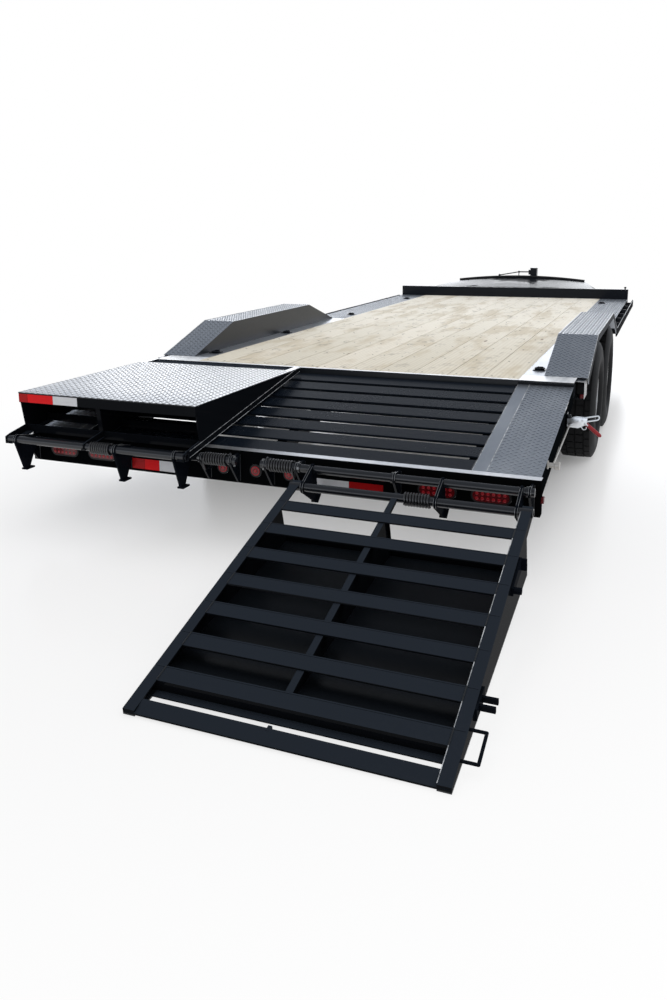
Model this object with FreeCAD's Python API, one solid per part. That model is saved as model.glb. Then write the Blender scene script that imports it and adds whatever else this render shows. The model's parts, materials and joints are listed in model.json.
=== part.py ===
import FreeCAD, Part
import os, math

# Car hauler trailer: wood deck, open-slat dovetail, two spring-assisted
# flip-over ramps on double hinges, drive-over fenders and tandem axles.
# Millimetres. X points right, Y forward, Z up from the ground. Y is first
# counted from the rear edge of the wood deck and moved to the middle at the end.

# Overall sizes
DECK_Z = 620.0
DECK_LENGTH = 5270.0
HALF_WIDTH = 1240.0
PLATE_T = 6.0
BOARD_T = 38.0
BOARD_COUNT = 10
BOARD_GAP = 4.0
RUN = 0.3

# Main rails, plain strips inside their webs, wings and rub rails outside
WING_W = 195.0
STRIP_W = 85.0
RUB_REACH = 55.0
RAIL_OUT = HALF_WIDTH - WING_W
WOOD_HALF = RAIL_OUT - STRIP_W
RUB_OUT = HALF_WIDTH + RUB_REACH
RAIL_WEB = 8.0
RAIL_FLANGE = 50.0
RAIL_H = 152.0
RAIL_TOP = DECK_Z - PLATE_T
RAIL_LOW = RAIL_TOP - RAIL_H
HEAD_D = 50.0
HEAD_TOP = 725.0
HEAD_LOW = 600.0
HEAD_FRONT = DECK_LENGTH + HEAD_D
TONGUE_LENGTH = 1240.0
TONGUE_REAR_X = HALF_WIDTH / 2.0
TONGUE_NOSE_X = 48.0
TONGUE_TOP = HEAD_LOW
TONGUE_FLANGE = 45.0
COUPLER_Y = HEAD_FRONT + TONGUE_LENGTH + 175.0
COUPLER_NOSE = COUPLER_Y + 55.0
BALL_R = 29.4
BALL_Z = 515.0

# Dovetail and bumper
TAIL_FRONT = -30.0
TAIL_REAR = -1130.0
TAIL_FRONT_Z = 598.0
TAIL_REAR_Z = 427.0
SMOOTH_IN = WOOD_HALF
TREAD_IN = SMOOTH_IN + 60.0
SLAT_COUNT = 8
SLAT_W = 104.0
BUMPER_FACE = -1180.0
BUMPER_TOP = TAIL_REAR_Z
BUMPER_H = 152.0
BUMPER_WEB = 8.0
LAMP_Z = 340.0
OVAL_L, OVAL_H = 166.0, 66.0
ROUND_R = 31.0

# Ramps: A is the fixed pipe, B the ramp's own pipe, a short link joins them
A_Y, A_Z = -1250.0, 396.0
PIPE_R = 18.0
LINK = 115.0
LINK_FOLDED = 166.5
LINK_DEPLOYED = 205.0
RAMP_IN = 250.0
RAMP_W = HALF_WIDTH - RAMP_IN
TIP_Y = -80.0
TIP_TOP = 623.0
TIP_LOW = 608.0
REAR_TOP_Y, REAR_TOP_Z = -1270.0, 630.0
STRINGER_BELOW_B = 14.0
STRINGER_T = 6.0
STRINGER_FLANGE = 40.0
RAMP_PLATE_T = 5.0
CLEAT_W = 63.0
CLEAT_T = 6.0
CLEAT_FIRST = 131.0
CLEAT_PITCH = 160.0
CLEAT_COUNT = 7
NOSE_W = 50.0
MID_FLANGE = 24.0
REAR_STRIP_H = 45.0
REAR_LEAN_Y, REAR_LEAN_Z = REAR_TOP_Y + 30.0, 468.0
MID_U = RAMP_W / 2.0 - 40.0
COIL_U = (RAMP_W / 2.0 - 10.0, RAMP_W / 2.0 + 105.0)
LINK_U = (55.0, RAMP_W - 370.0, RAMP_W - 57.0)

# Running gear
TYRE_R = 358.0
TYRE_W = 215.0
WHEEL_X = RUB_OUT - 98.0
RIM_R = 190.5
RIM_W = 152.0
AXLE_MID = DECK_LENGTH * 0.261
AXLE_SPREAD = 890.0
AXLE_YS = (AXLE_MID - AXLE_SPREAD / 2.0, AXLE_MID + AXLE_SPREAD / 2.0)
AXLE_R = 38.0
SPRING_X = RAIL_OUT - 28.0
SPRING_HALF = 330.0
LEAF_W = 44.0
LEAF_T = 8.0
EYE_Z = 437.0
DRUM_R = 150.0
SPINDLE_R = 20.0
BACKING = (RAIL_OUT + 67.0, RAIL_OUT + 77.0)
AXLE_TUBE_END = BACKING[0] - 27.0

# Fenders, long enough to drive over both wheels
FENDER_IN = RAIL_OUT + 30.0
FENDER_OUT = RUB_OUT
FENDER_T = 5.0
FENDER_Y = (AXLE_YS[0] - 790.0, AXLE_YS[0] - 250.0, AXLE_YS[1] + 200.0, AXLE_YS[1] + 740.0)
FENDER_TOP = 785.0
FENDER_LIP = 42.0
END_BOX_Y = (FENDER_Y[0] - 80.0, FENDER_Y[0] + 60.0)

# Tongue box: (rear, front) pairs; the crowned lid rises towards the front
BOX_Y = (HEAD_FRONT + 100.0, HEAD_FRONT + 680.0)
BOX_HALF = (HALF_WIDTH * 0.725, HALF_WIDTH * 0.58)
BOX_WALL = 5.0
BOX_LOW = TONGUE_TOP
LID_LOW = (688.0, 733.0)
LID_EDGE = (712.0, 757.0)
LID_CROWN = (2.0, 44.0)
LID_T = 4.0
LID_GAP = 5.0
LID_HINGE_Y = BOX_Y[0] - 5.0
LID_HINGE_Z = LID_EDGE[0] - LID_T

# Jack, to the right of the middle, its crank folded to the left
JACK_X = 130.0
JACK_Y = BOX_Y[1] + 150.0
JACK_PLATE = 60.0
JACK_TUBE = 76.0
JACK_LEG = 62.0
JACK_TOP = 903.0
CRANK_KNEE_X = -47.0
CRANK_END_X = -278.0
CRANK_Z = (853.0, 812.0)
JACK_TUBE_LOW = 330.0
JACK_FOOT = 12.0


def rotate_point(y, z, cy, cz, degrees):
    a = math.radians(degrees)
    dy, dz = y - cy, z - cz
    return (cy + dy * math.cos(a) - dz * math.sin(a),
            cz + dy * math.sin(a) + dz * math.cos(a))


def polar(cy, cz, r, degrees):
    a = math.radians(degrees)
    return cy + r * math.cos(a), cz + r * math.sin(a)


B_Y, B_Z = polar(A_Y, A_Z, LINK, LINK_FOLDED)
BD_Y, BD_Z = polar(A_Y, A_Z, LINK, LINK_DEPLOYED)
LINK_SWING = LINK_DEPLOYED - LINK_FOLDED
TIP_SKIN = TIP_TOP + RAMP_PLATE_T
_tip_r = math.hypot(TIP_Y - B_Y, TIP_SKIN - B_Z)
_tip_a = math.degrees(math.atan2(TIP_SKIN - B_Z, TIP_Y - B_Y))
RAMP_TURN = 180.0 + math.degrees(math.asin(BD_Z / _tip_r)) - _tip_a
RAMP_SWING = RAMP_TURN - LINK_SWING
TIP_REAR_Y = BD_Y - math.sqrt(_tip_r ** 2 - BD_Z ** 2)
OFFSET_Y = -(COUPLER_NOSE + TIP_REAR_Y) / 2.0


def box(x0, x1, y0, y1, z0, z1):
    return Part.makeBox(x1 - x0, y1 - y0, z1 - z0, FreeCAD.Vector(x0, y0, z0))


def prism(points, direction):
    wire = Part.makePolygon([FreeCAD.Vector(*p) for p in points + [points[0]]])
    return Part.Face(wire).extrude(FreeCAD.Vector(*direction))


def prism_yz(points, x0, x1):
    return prism([(x0, y, z) for y, z in points], (x1 - x0, 0, 0))


def prism_xz(points, y0, y1):
    return prism([(x, y0, z) for x, z in points], (0, y1 - y0, 0))


def prism_xy(points, z0, z1):
    return prism([(x, y, z0) for x, y in points], (0, 0, z1 - z0))


def cyl_x(y, z, r, x0, x1):
    return Part.makeCylinder(r, x1 - x0, FreeCAD.Vector(x0, y, z), FreeCAD.Vector(1, 0, 0))


def cyl_y(x, z, r, y0, y1):
    return Part.makeCylinder(r, y1 - y0, FreeCAD.Vector(x, y0, z), FreeCAD.Vector(0, 1, 0))


def cyl_z(x, y, r, z0, z1):
    return Part.makeCylinder(r, z1 - z0, FreeCAD.Vector(x, y, z0), FreeCAD.Vector(0, 0, 1))


def rod(start, end, r):
    a, b = FreeCAD.Vector(*start), FreeCAD.Vector(*end)
    return Part.makeCylinder(r, (b - a).Length, a, b - a)


def ball(x, y, z, r):
    return Part.makeSphere(r, FreeCAD.Vector(x, y, z))


def revolve_x(profile, y, z):
    # profile holds (x, radius) pairs, turned about the X line through (y, z)
    wire = Part.makePolygon([FreeCAD.Vector(x, y, z + r) for x, r in profile + [profile[0]]])
    return Part.Face(wire).revolve(FreeCAD.Vector(0, y, z), FreeCAD.Vector(1, 0, 0), 360)


def fuse(shapes):
    out = shapes[0]
    for s in shapes[1:]:
        out = out.fuse(s)
    return out.removeSplitter()


def mirror(shape):
    return shape.mirror(FreeCAD.Vector(0, 0, 0), FreeCAD.Vector(1, 0, 0))


def both(shape):
    return [shape, mirror(shape)]


def turned_x(shape, y, z, degrees):
    s = shape.copy()
    s.rotate(FreeCAD.Vector(0, y, z), FreeCAD.Vector(1, 0, 0), degrees)
    return s


NODES = {}


def keep(name, shapes):
    shapes = shapes if isinstance(shapes, list) else [shapes]
    solids = []
    for s in shapes:
        solids += s.Solids
    moved = []
    for s in solids:
        c = s.copy()
        c.translate(FreeCAD.Vector(0, OFFSET_Y, 0))
        moved.append(c)
    NODES[name] = moved


# Slope of the dovetail
def tail_z(y):
    return TAIL_FRONT_Z + (y - TAIL_FRONT) * (TAIL_FRONT_Z - TAIL_REAR_Z) / (TAIL_FRONT - TAIL_REAR)


TAIL_ANGLE = math.degrees(math.atan((TAIL_FRONT_Z - TAIL_REAR_Z) / (TAIL_FRONT - TAIL_REAR)))


def tail_bar(x0, x1, y0, y1, top, depth):
    # a bar or plate that follows the dovetail, its top a given depth below the surface
    return prism_yz([(y1, tail_z(y1) - top), (y1, tail_z(y1) - top - depth),
                     (y0, tail_z(y0) - top - depth), (y0, tail_z(y0) - top)], x0, x1)


# Main rails: channels with the web outside, kinked down along the dovetail
def main_rail():
    y1 = DECK_LENGTH
    k = TAIL_FRONT
    low_k = RAIL_LOW
    low_r = BUMPER_TOP - BUMPER_H
    top_r = TAIL_REAR_Z - PLATE_T
    top_k = TAIL_FRONT_Z - PLATE_T
    side = [(y1, RAIL_TOP), (k, RAIL_TOP), (k, top_k), (TAIL_REAR, top_r),
            (TAIL_REAR, low_r), (k, low_k), (y1, low_k)]
    web = prism_yz(side, RAIL_OUT - RAIL_WEB, RAIL_OUT)
    top = prism_yz([(y1, RAIL_TOP), (k, RAIL_TOP), (k, RAIL_TOP - RAIL_WEB),
                    (y1, RAIL_TOP - RAIL_WEB)], RAIL_OUT - RAIL_FLANGE, RAIL_OUT)
    top2 = prism_yz([(k, top_k), (TAIL_REAR, top_r), (TAIL_REAR, top_r - RAIL_WEB),
                     (k, top_k - RAIL_WEB)], RAIL_OUT - RAIL_FLANGE, RAIL_OUT)
    low = prism_yz([(y1, low_k), (k, low_k), (TAIL_REAR, low_r),
                    (TAIL_REAR, low_r + RAIL_WEB), (k, low_k + RAIL_WEB),
                    (y1, low_k + RAIL_WEB)], RAIL_OUT - RAIL_FLANGE, RAIL_OUT)
    return fuse([web, top, top2, low])


keep("main_rails", both(main_rail()))

# Crossmembers: small channels under the boards, butted to the rail webs
CROSS_COUNT = 10
CROSS_PITCH = (DECK_LENGTH - 30.0) / CROSS_COUNT
CROSS_YS = [30.0 + i * CROSS_PITCH for i in range(CROSS_COUNT)]
CROSS_H, CROSS_FLANGE, CROSS_T = 76.0, 38.0, 5.0
CROSS_TOP = DECK_Z - BOARD_T


def crossmember(y):
    z1, z0, t = CROSS_TOP, CROSS_TOP - CROSS_H, CROSS_T
    profile = [(y, z0), (y, z1), (y + CROSS_FLANGE, z1), (y + CROSS_FLANGE, z1 - t),
               (y + t, z1 - t), (y + t, z0 + t), (y + CROSS_FLANGE, z0 + t),
               (y + CROSS_FLANGE, z0)]
    half = RAIL_OUT - RAIL_WEB
    return prism_yz(profile, -half, half)


keep("crossmembers", [crossmember(y) for y in CROSS_YS])

# Deck boards, side by side with small gaps
board_w = (2 * WOOD_HALF - (BOARD_COUNT - 1) * BOARD_GAP) / BOARD_COUNT
boards = []
for i in range(BOARD_COUNT):
    x0 = -WOOD_HALF + i * (board_w + BOARD_GAP)
    boards.append(box(x0, x0 + board_w, 0.0, DECK_LENGTH, DECK_Z - BOARD_T, DECK_Z))
keep("deck_boards", boards)

# Steel deck: plain strips over the rails, tread plates outboard of them
front_y, rear_y = DECK_LENGTH, TAIL_FRONT
strip = box(WOOD_HALF, FENDER_IN - FENDER_T, rear_y, front_y, DECK_Z - PLATE_T, DECK_Z)
wing_front = box(FENDER_IN - FENDER_T, HALF_WIDTH, FENDER_Y[3], front_y, DECK_Z - PLATE_T, DECK_Z)
wing_rear = box(FENDER_IN - FENDER_T, HALF_WIDTH, rear_y, FENDER_Y[0], DECK_Z - PLATE_T, DECK_Z)
rear_lip = box(-WOOD_HALF, WOOD_HALF, rear_y, -PLATE_T / 2, CROSS_TOP - 30.0, DECK_Z)
keep("deck_side_plates", both(fuse([strip, wing_front, wing_rear])) + [rear_lip])

# Side rails with outriggers, and rub rails held off by pipe spools
SIDE_LOW = 540.0
SIDE_T = 8.0
SPOOL_R = 24.0
SPOOL_Z = 582.0
RUB_T = 10.0
RUB_Z = (548.0, 614.0)
SPOOL_COUNT = 7
SPOOL_FIRST = FENDER_Y[3] + 100.0
SPOOL_PITCH = (front_y - 210.0 - SPOOL_FIRST) / (SPOOL_COUNT - 1)
SPOOL_YS = [SPOOL_FIRST + i * SPOOL_PITCH for i in range(SPOOL_COUNT)]
OUTRIGGER_COUNT = 5
OUTRIGGER_FIRST = FENDER_Y[3] + 40.0
OUTRIGGER_PITCH = (front_y - 270.0 - OUTRIGGER_FIRST) / (OUTRIGGER_COUNT - 1)
OUTRIGGER_YS = [OUTRIGGER_FIRST + i * OUTRIGGER_PITCH for i in range(OUTRIGGER_COUNT)]
side = [box(HALF_WIDTH - SIDE_T, HALF_WIDTH, FENDER_Y[3], front_y, SIDE_LOW, RAIL_TOP),
        box(HALF_WIDTH - SIDE_T, HALF_WIDTH, rear_y, END_BOX_Y[0], SIDE_LOW, RAIL_TOP)]
for y in OUTRIGGER_YS + [END_BOX_Y[0] - 40.0]:
    side.append(prism_xz([(RAIL_OUT, RAIL_TOP), (HALF_WIDTH - SIDE_T, RAIL_TOP),
                          (HALF_WIDTH - SIDE_T, SIDE_LOW + 20.0), (RAIL_OUT, RAIL_LOW + 30.0)],
                         y, y + 8.0))
side_right = [fuse([side[0]] + side[2:7]), fuse([side[1], side[7]])]
keep("side_rails", side_right + [mirror(s) for s in side_right])
rub = box(RUB_OUT - RUB_T, RUB_OUT, FENDER_Y[3] + 20.0, front_y + HEAD_D, RUB_Z[0], RUB_Z[1])
spools = [cyl_x(y, SPOOL_Z, SPOOL_R, HALF_WIDTH, RUB_OUT - RUB_T)
          .cut(cyl_x(y, SPOOL_Z, SPOOL_R - 4.0, HALF_WIDTH - 1.0, RUB_OUT)) for y in SPOOL_YS]
keep("rub_rails", both(rub))
keep("rub_rail_spools", spools + [mirror(s) for s in spools])

# Front channel and header tube
front_chan = prism_yz([(front_y, RAIL_LOW), (front_y, HEAD_LOW), (front_y + HEAD_D, HEAD_LOW),
                       (front_y + HEAD_D, RAIL_LOW), (front_y + HEAD_D - 8.0, RAIL_LOW),
                       (front_y + HEAD_D - 8.0, HEAD_LOW - 8.0), (front_y + 8.0, HEAD_LOW - 8.0),
                       (front_y + 8.0, RAIL_LOW)], -HALF_WIDTH, HALF_WIDTH)
header = box(-HALF_WIDTH, HALF_WIDTH, front_y, front_y + HEAD_D, HEAD_LOW, HEAD_TOP)
keep("front_channel", front_chan)
keep("header_rail", header)

# Tongue: two channels from the front channel to the coupler, open sides inwards
tongue_y0 = HEAD_FRONT
tongue_y1 = tongue_y0 + TONGUE_LENGTH


def tongue_rail():
    z0, z1, t = RAIL_LOW, TONGUE_TOP, 7.0
    slope = (TONGUE_REAR_X - TONGUE_NOSE_X) / TONGUE_LENGTH

    def strip_plan(off, width):
        return [(TONGUE_REAR_X - off, tongue_y0), (TONGUE_NOSE_X - off, tongue_y1),
                (TONGUE_NOSE_X - off - width, tongue_y1), (TONGUE_REAR_X - off - width, tongue_y0)]
    web = prism_xy(strip_plan(0.0, t), z0, z1)
    top = prism_xy(strip_plan(0.0, TONGUE_FLANGE), z1 - t, z1)
    low = prism_xy(strip_plan(0.0, TONGUE_FLANGE), z0, z0 + t)
    return fuse([web, top, low])


keep("tongue_rail_left", mirror(tongue_rail()))
keep("tongue_rail_right", tongue_rail())

# Coupler: cast ball housing on a flat bar, with its latch lever on top
nose_w = TONGUE_NOSE_X
neck = box(-nose_w, nose_w, tongue_y1, COUPLER_Y - 20.0, BALL_Z - 10.0, BALL_Z + 60.0)
head = cyl_z(0.0, COUPLER_Y, COUPLER_NOSE - COUPLER_Y, BALL_Z - 26.0, BALL_Z + 60.0)
socket = Part.makeSphere(BALL_R, FreeCAD.Vector(0, COUPLER_Y, BALL_Z))
mouth = cyl_z(0.0, COUPLER_Y, BALL_R, BALL_Z - 40.0, BALL_Z)
face_plate = box(-75.0, 75.0, tongue_y1, tongue_y1 + 12.0, RAIL_LOW + 4.0, TONGUE_TOP)
lever = fuse([box(-14.0, 14.0, COUPLER_Y - 110.0, COUPLER_Y + 10.0, BALL_Z + 60.0, BALL_Z + 78.0),
              box(-14.0, 14.0, COUPLER_Y - 130.0, COUPLER_Y - 100.0, BALL_Z + 60.0, BALL_Z + 112.0)])
coupler = fuse([neck, head, face_plate]).cut(socket).cut(mouth)
keep("coupler", fuse([coupler, lever]))

# Jack: square tube in a plate across the tongue, drop leg inside, folded crank
def tongue_half(y):
    return TONGUE_NOSE_X + (tongue_y1 - y) * (TONGUE_REAR_X - TONGUE_NOSE_X) / TONGUE_LENGTH


plate_y0, plate_y1 = JACK_Y - JACK_PLATE, JACK_Y + JACK_PLATE
plate = prism_xy([(-tongue_half(plate_y0), plate_y0), (tongue_half(plate_y0), plate_y0),
                  (tongue_half(plate_y1), plate_y1), (-tongue_half(plate_y1), plate_y1)],
                 TONGUE_TOP, TONGUE_TOP + 8.0)


def jack_square(half, z0, z1):
    return box(JACK_X - half, JACK_X + half, JACK_Y - half, JACK_Y + half, z0, z1)


jt, jl = JACK_TUBE / 2.0, JACK_LEG / 2.0
tube = jack_square(jt, JACK_TUBE_LOW, JACK_TOP - 6.0)
cap = jack_square(jt + 3.0, JACK_TOP - 6.0, JACK_TOP)
bore = jack_square(jl + RUN, JACK_TUBE_LOW - 1.0, JACK_TOP - 80.0)
case_x = JACK_X - jt - 22.0
gear_case = box(case_x, JACK_X - jt, JACK_Y - 26.0, JACK_Y + 26.0, CRANK_Z[0] - 30.0, CRANK_Z[0] + 26.0)
slotted_plate = plate.cut(jack_square(jt, 0.0, JACK_TOP))
keep("jack_tube", fuse([slotted_plate, fuse([tube, cap, gear_case]).cut(bore)]))
knee = (CRANK_KNEE_X, JACK_Y, CRANK_Z[0])
end = (CRANK_END_X, JACK_Y, CRANK_Z[1])
crank = [rod((case_x, JACK_Y, CRANK_Z[0]), knee, 7.0), rod(knee, end, 6.0)]
crank += [ball(*knee, 13.0), ball(*end, 13.0)]
crank += [cyl_z(x, JACK_Y, 5.0, z - 105.0, z) for x, _, z in (knee, end)]
keep("jack_crank", fuse(crank))
leg = jack_square(jl, JACK_FOOT, JACK_TUBE_LOW + 170.0)
foot = jack_square(80.0, 0.0, JACK_FOOT)
keep("jack_leg", fuse([leg, foot]))


# Tongue box: floor and four walls, wider at the rear, under a lid arched across
def plan(grow):
    y0, y1 = BOX_Y
    return [(-BOX_HALF[0] - grow, y0 - grow), (BOX_HALF[0] + grow, y0 - grow),
            (BOX_HALF[1] + grow, y1 + grow), (-BOX_HALF[1] - grow, y1 + grow)]


def arched_face(half, y, low, edge, crown):
    left, right = FreeCAD.Vector(-half, y, edge), FreeCAD.Vector(half, y, edge)
    foot_left, foot_right = FreeCAD.Vector(-half, y, low), FreeCAD.Vector(half, y, low)
    arch = Part.Arc(left, FreeCAD.Vector(0, y, edge + crown), right).toShape()
    return Part.Wire([arch, Part.makeLine(right, foot_right), Part.makeLine(foot_right, foot_left),
                      Part.makeLine(foot_left, left)])


def lid_form(grow, skin, deeper):
    ends = []
    lid_y = (BOX_Y[0] - grow, BOX_Y[1] + grow)
    for half, y, low, edge, crown in zip(BOX_HALF, lid_y, LID_LOW, LID_EDGE, LID_CROWN):
        ends.append(arched_face(half + grow, y, low - deeper, edge - skin, crown))
    return Part.makeLoft(ends, True, True)


wall_top = [z - LID_T - RUN for z in LID_EDGE]
side_view = prism_yz([(BOX_Y[0], BOX_LOW), (BOX_Y[0], wall_top[0]), (BOX_Y[1], wall_top[1]),
                      (BOX_Y[1], BOX_LOW)], -BOX_HALF[0], BOX_HALF[0])
box_out = prism_xy(plan(0.0), BOX_LOW, LID_EDGE[1]).common(side_view)
box_in = prism_xy(plan(-BOX_WALL), BOX_LOW + BOX_WALL, LID_EDGE[1])
keep("tongue_box", box_out.cut(box_in))
lid_shell = lid_form(LID_GAP + LID_T, 0.0, 0.0).cut(lid_form(LID_GAP, LID_T, 2.0))
rear_lip = box(-HALF_WIDTH, HALF_WIDTH, BOX_Y[0] - 30.0, BOX_Y[0] + 12.0, LID_LOW[0] - 5.0, LID_HINGE_Z)
rear_edge = box(-HALF_WIDTH, HALF_WIDTH, BOX_Y[0] - 30.0, LID_HINGE_Y, LID_LOW[0] - 5.0, LID_EDGE[1])
lid_barrel = cyl_x(LID_HINGE_Y, LID_HINGE_Z, LID_T, 60.0 - BOX_HALF[0], BOX_HALF[0] - 60.0)
keep("tongue_box_lid", fuse([lid_shell.cut(rear_lip).cut(rear_edge), lid_barrel]))

# Fenders: bent top plate with ramped ends, inner wall, outer lip, end boxes
def fender():
    y = FENDER_Y
    top = [(y[0], DECK_Z), (y[1], FENDER_TOP), (y[2], FENDER_TOP), (y[3], DECK_Z)]
    skin = top + [(y[3] - 16.0, DECK_Z - FENDER_T), (y[2] - 1.5, FENDER_TOP - FENDER_T),
                  (y[1] + 1.5, FENDER_TOP - FENDER_T), (y[0] + 16.0, DECK_Z - FENDER_T)]
    plate_top = prism_yz(skin, FENDER_IN - FENDER_T, FENDER_OUT)
    wall = prism_yz(top + [(y[3], DECK_Z - 20.0), (y[0], DECK_Z - 20.0)], FENDER_IN - FENDER_T, FENDER_IN)
    lip_poly = top + [(y[3] - 60.0, DECK_Z - FENDER_LIP), (y[2], FENDER_TOP - FENDER_LIP),
                      (y[1], FENDER_TOP - FENDER_LIP), (y[0] + 60.0, DECK_Z - FENDER_LIP)]
    lip = prism_yz(lip_poly, FENDER_OUT - FENDER_T, FENDER_OUT)
    return fuse([plate_top, wall, lip])


def fender_box(y0, y1):
    outer = box(FENDER_IN + 70.0, FENDER_OUT - 10.0, y0, y1, 520.0, DECK_Z - PLATE_T)
    inner = box(FENDER_IN + 75.0, FENDER_OUT - 15.0, y0 - 1.0, y1 + 1.0, 525.0, DECK_Z - PLATE_T - 5.0)
    return outer.cut(inner)


fender_right = fender()
end_box = fender_box(*END_BOX_Y)
keep("fender_right", [fender_right])
keep("fender_left", [mirror(fender_right)])
keep("fender_end_boxes", both(end_box))

# Dovetail: plain and tread strips over the rails, cross slats, centre rail
smooth = tail_bar(SMOOTH_IN, TREAD_IN, TAIL_REAR, TAIL_FRONT, 0.0, PLATE_T)
tread = tail_bar(TREAD_IN, HALF_WIDTH, TAIL_REAR, TAIL_FRONT, 0.0, PLATE_T)
edge = tail_bar(HALF_WIDTH - SIDE_T, HALF_WIDTH, TAIL_REAR, TAIL_FRONT, PLATE_T, 90.0)
keep("dovetail_side_plates", both(fuse([smooth, tread, edge])))
SLAT_DROP, SLAT_T = 3.0, 8.0
pitch = (TAIL_FRONT - TAIL_REAR) / SLAT_COUNT
slats = []
for i in range(SLAT_COUNT):
    y0 = TAIL_REAR + i * pitch + 8.0
    slats.append(fuse([tail_bar(-SMOOTH_IN, SMOOTH_IN, y0, y0 + SLAT_W, SLAT_DROP, SLAT_T),
                       tail_bar(-SMOOTH_IN, SMOOTH_IN, y0 + SLAT_W - SLAT_T, y0 + SLAT_W, SLAT_DROP, 50.0)]))
keep("dovetail_slats", slats)
under = SLAT_DROP + 50.0
CARRIER_W = 50.0
carrier = [tail_bar(x, x + CARRIER_W, TAIL_REAR, TAIL_FRONT, under, 60.0)
           for x in (-CARRIER_W / 2.0, SMOOTH_IN - 10.0 - CARRIER_W, 10.0 - SMOOTH_IN)]
keep("dovetail_carriers", carrier)

# Bumper: channel with lamp holes, flanges forward
OVALS = [HALF_WIDTH - 410.0, HALF_WIDTH - 188.0]
ROUNDS = [-165.0, 0.0, 165.0]
low = BUMPER_TOP - BUMPER_H
bumper = prism_yz([(BUMPER_FACE, low), (BUMPER_FACE, BUMPER_TOP), (TAIL_REAR, BUMPER_TOP),
                   (TAIL_REAR, BUMPER_TOP - 8.0), (BUMPER_FACE + BUMPER_WEB, BUMPER_TOP - 8.0),
                   (BUMPER_FACE + BUMPER_WEB, low + 8.0), (TAIL_REAR, low + 8.0),
                   (TAIL_REAR, low)], -HALF_WIDTH, HALF_WIDTH)


def stadium(x, half_l, r, y0, y1):
    s = box(x - half_l + r, x + half_l - r, y0, y1, LAMP_Z - r, LAMP_Z + r)
    return fuse([s, cyl_y(x - half_l + r, LAMP_Z, r, y0, y1), cyl_y(x + half_l - r, LAMP_Z, r, y0, y1)])


lamps = []
for x in [-v for v in OVALS] + OVALS:
    bumper = bumper.cut(stadium(x, OVAL_L / 2, OVAL_H / 2, BUMPER_FACE - 5, BUMPER_FACE + 15))
    lamps.append(fuse([stadium(x, OVAL_L / 2 - RUN, OVAL_H / 2 - RUN, BUMPER_FACE - 2.0, BUMPER_FACE + 30.0),
                       stadium(x, OVAL_L / 2 - 12.0, OVAL_H / 2 - 12.0, BUMPER_FACE - 8.0, BUMPER_FACE)]))
for x in ROUNDS:
    bumper = bumper.cut(cyl_y(x, LAMP_Z, ROUND_R, BUMPER_FACE - 5, BUMPER_FACE + 15))
    lamps.append(fuse([cyl_y(x, LAMP_Z, ROUND_R - RUN, BUMPER_FACE - 2.0, BUMPER_FACE + 24.0),
                       cyl_y(x, LAMP_Z, ROUND_R - 11.0, BUMPER_FACE - 8.0, BUMPER_FACE)]))
end_plate = box(HALF_WIDTH, HALF_WIDTH + 6.0, BUMPER_FACE, TAIL_REAR, low, BUMPER_TOP)
keep("rear_bumper", fuse([bumper] + both(end_plate)))
for s in both(box(HALF_WIDTH + 6.0, HALF_WIDTH + 18.0, BUMPER_FACE + 8.0, BUMPER_FACE + 42.0, 330.0, 352.0)):
    lamps.append(s)
for s in both(box(FENDER_OUT - 30.0, FENDER_OUT - 10.0, 48.0, 60.0, 528.0, 548.0)):
    lamps.append(s)
keep("lamps", lamps)

# Fixed pipes and the ears that carry them behind the bumper
EAR_T = 9.0
EAR_XS = [RAMP_IN - 165.0, RAMP_IN - 15.0, RAMP_IN + LINK_U[1] - 200.0, HALF_WIDTH - 25.0]
EAR_R = 23.0
PIPE_A = (EAR_XS[0] - 23.0, HALF_WIDTH - 8.0)
COIL_A = (EAR_XS[0] + 15.0, EAR_XS[1] - 13.0)
COIL_R = 29.0


def ear(x):
    t0 = x - EAR_T / 2
    body = prism_yz([(BUMPER_FACE, A_Z + 18.0), (A_Y, A_Z + EAR_R), (A_Y - EAR_R, A_Z + 4.0),
                     (A_Y - EAR_R + 4.0, A_Z - 16.0), (BUMPER_FACE - 16.0, low + 8.0),
                     (BUMPER_FACE, low + 2.0)], t0, t0 + EAR_T)
    hub = cyl_x(A_Y, A_Z, EAR_R, t0, t0 + EAR_T)
    return fuse([body, hub]).cut(cyl_x(A_Y, A_Z, PIPE_R + RUN, t0 - 1, t0 + EAR_T + 1))


ears = [ear(x) for x in EAR_XS]
keep("hinge_ears", ears + [mirror(e) for e in ears])
pipe_a = cyl_x(A_Y, A_Z, PIPE_R, *PIPE_A)
pipe_a = pipe_a.cut(cyl_x(A_Y, A_Z, PIPE_R - 4.0, PIPE_A[0] - 1.0, PIPE_A[1] + 1.0))
keep("fixed_hinge_pipes", both(pipe_a))


# Torsion springs: a ribbed sleeve with the coil's pitch and outer size
def coil(y, z, x0, x1, turns):
    prof = [(x0, PIPE_R + 0.6)]
    step = (x1 - x0) / turns
    for i in range(turns):
        prof.append((x0 + i * step, COIL_R - 5.0))
        prof.append((x0 + (i + 0.5) * step, COIL_R))
    prof.append((x1, COIL_R - 5.0))
    prof.append((x1, PIPE_R + 0.6))
    return revolve_x(prof, y, z)


coil_a = coil(A_Y, A_Z, COIL_A[0], COIL_A[1], 9)
keep("fixed_hinge_springs", both(coil_a))

# Links: three-cornered plates, hub A in front, hub B behind, stop foot below
LINK_T = 10.0
HUB_R = 26.0


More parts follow.
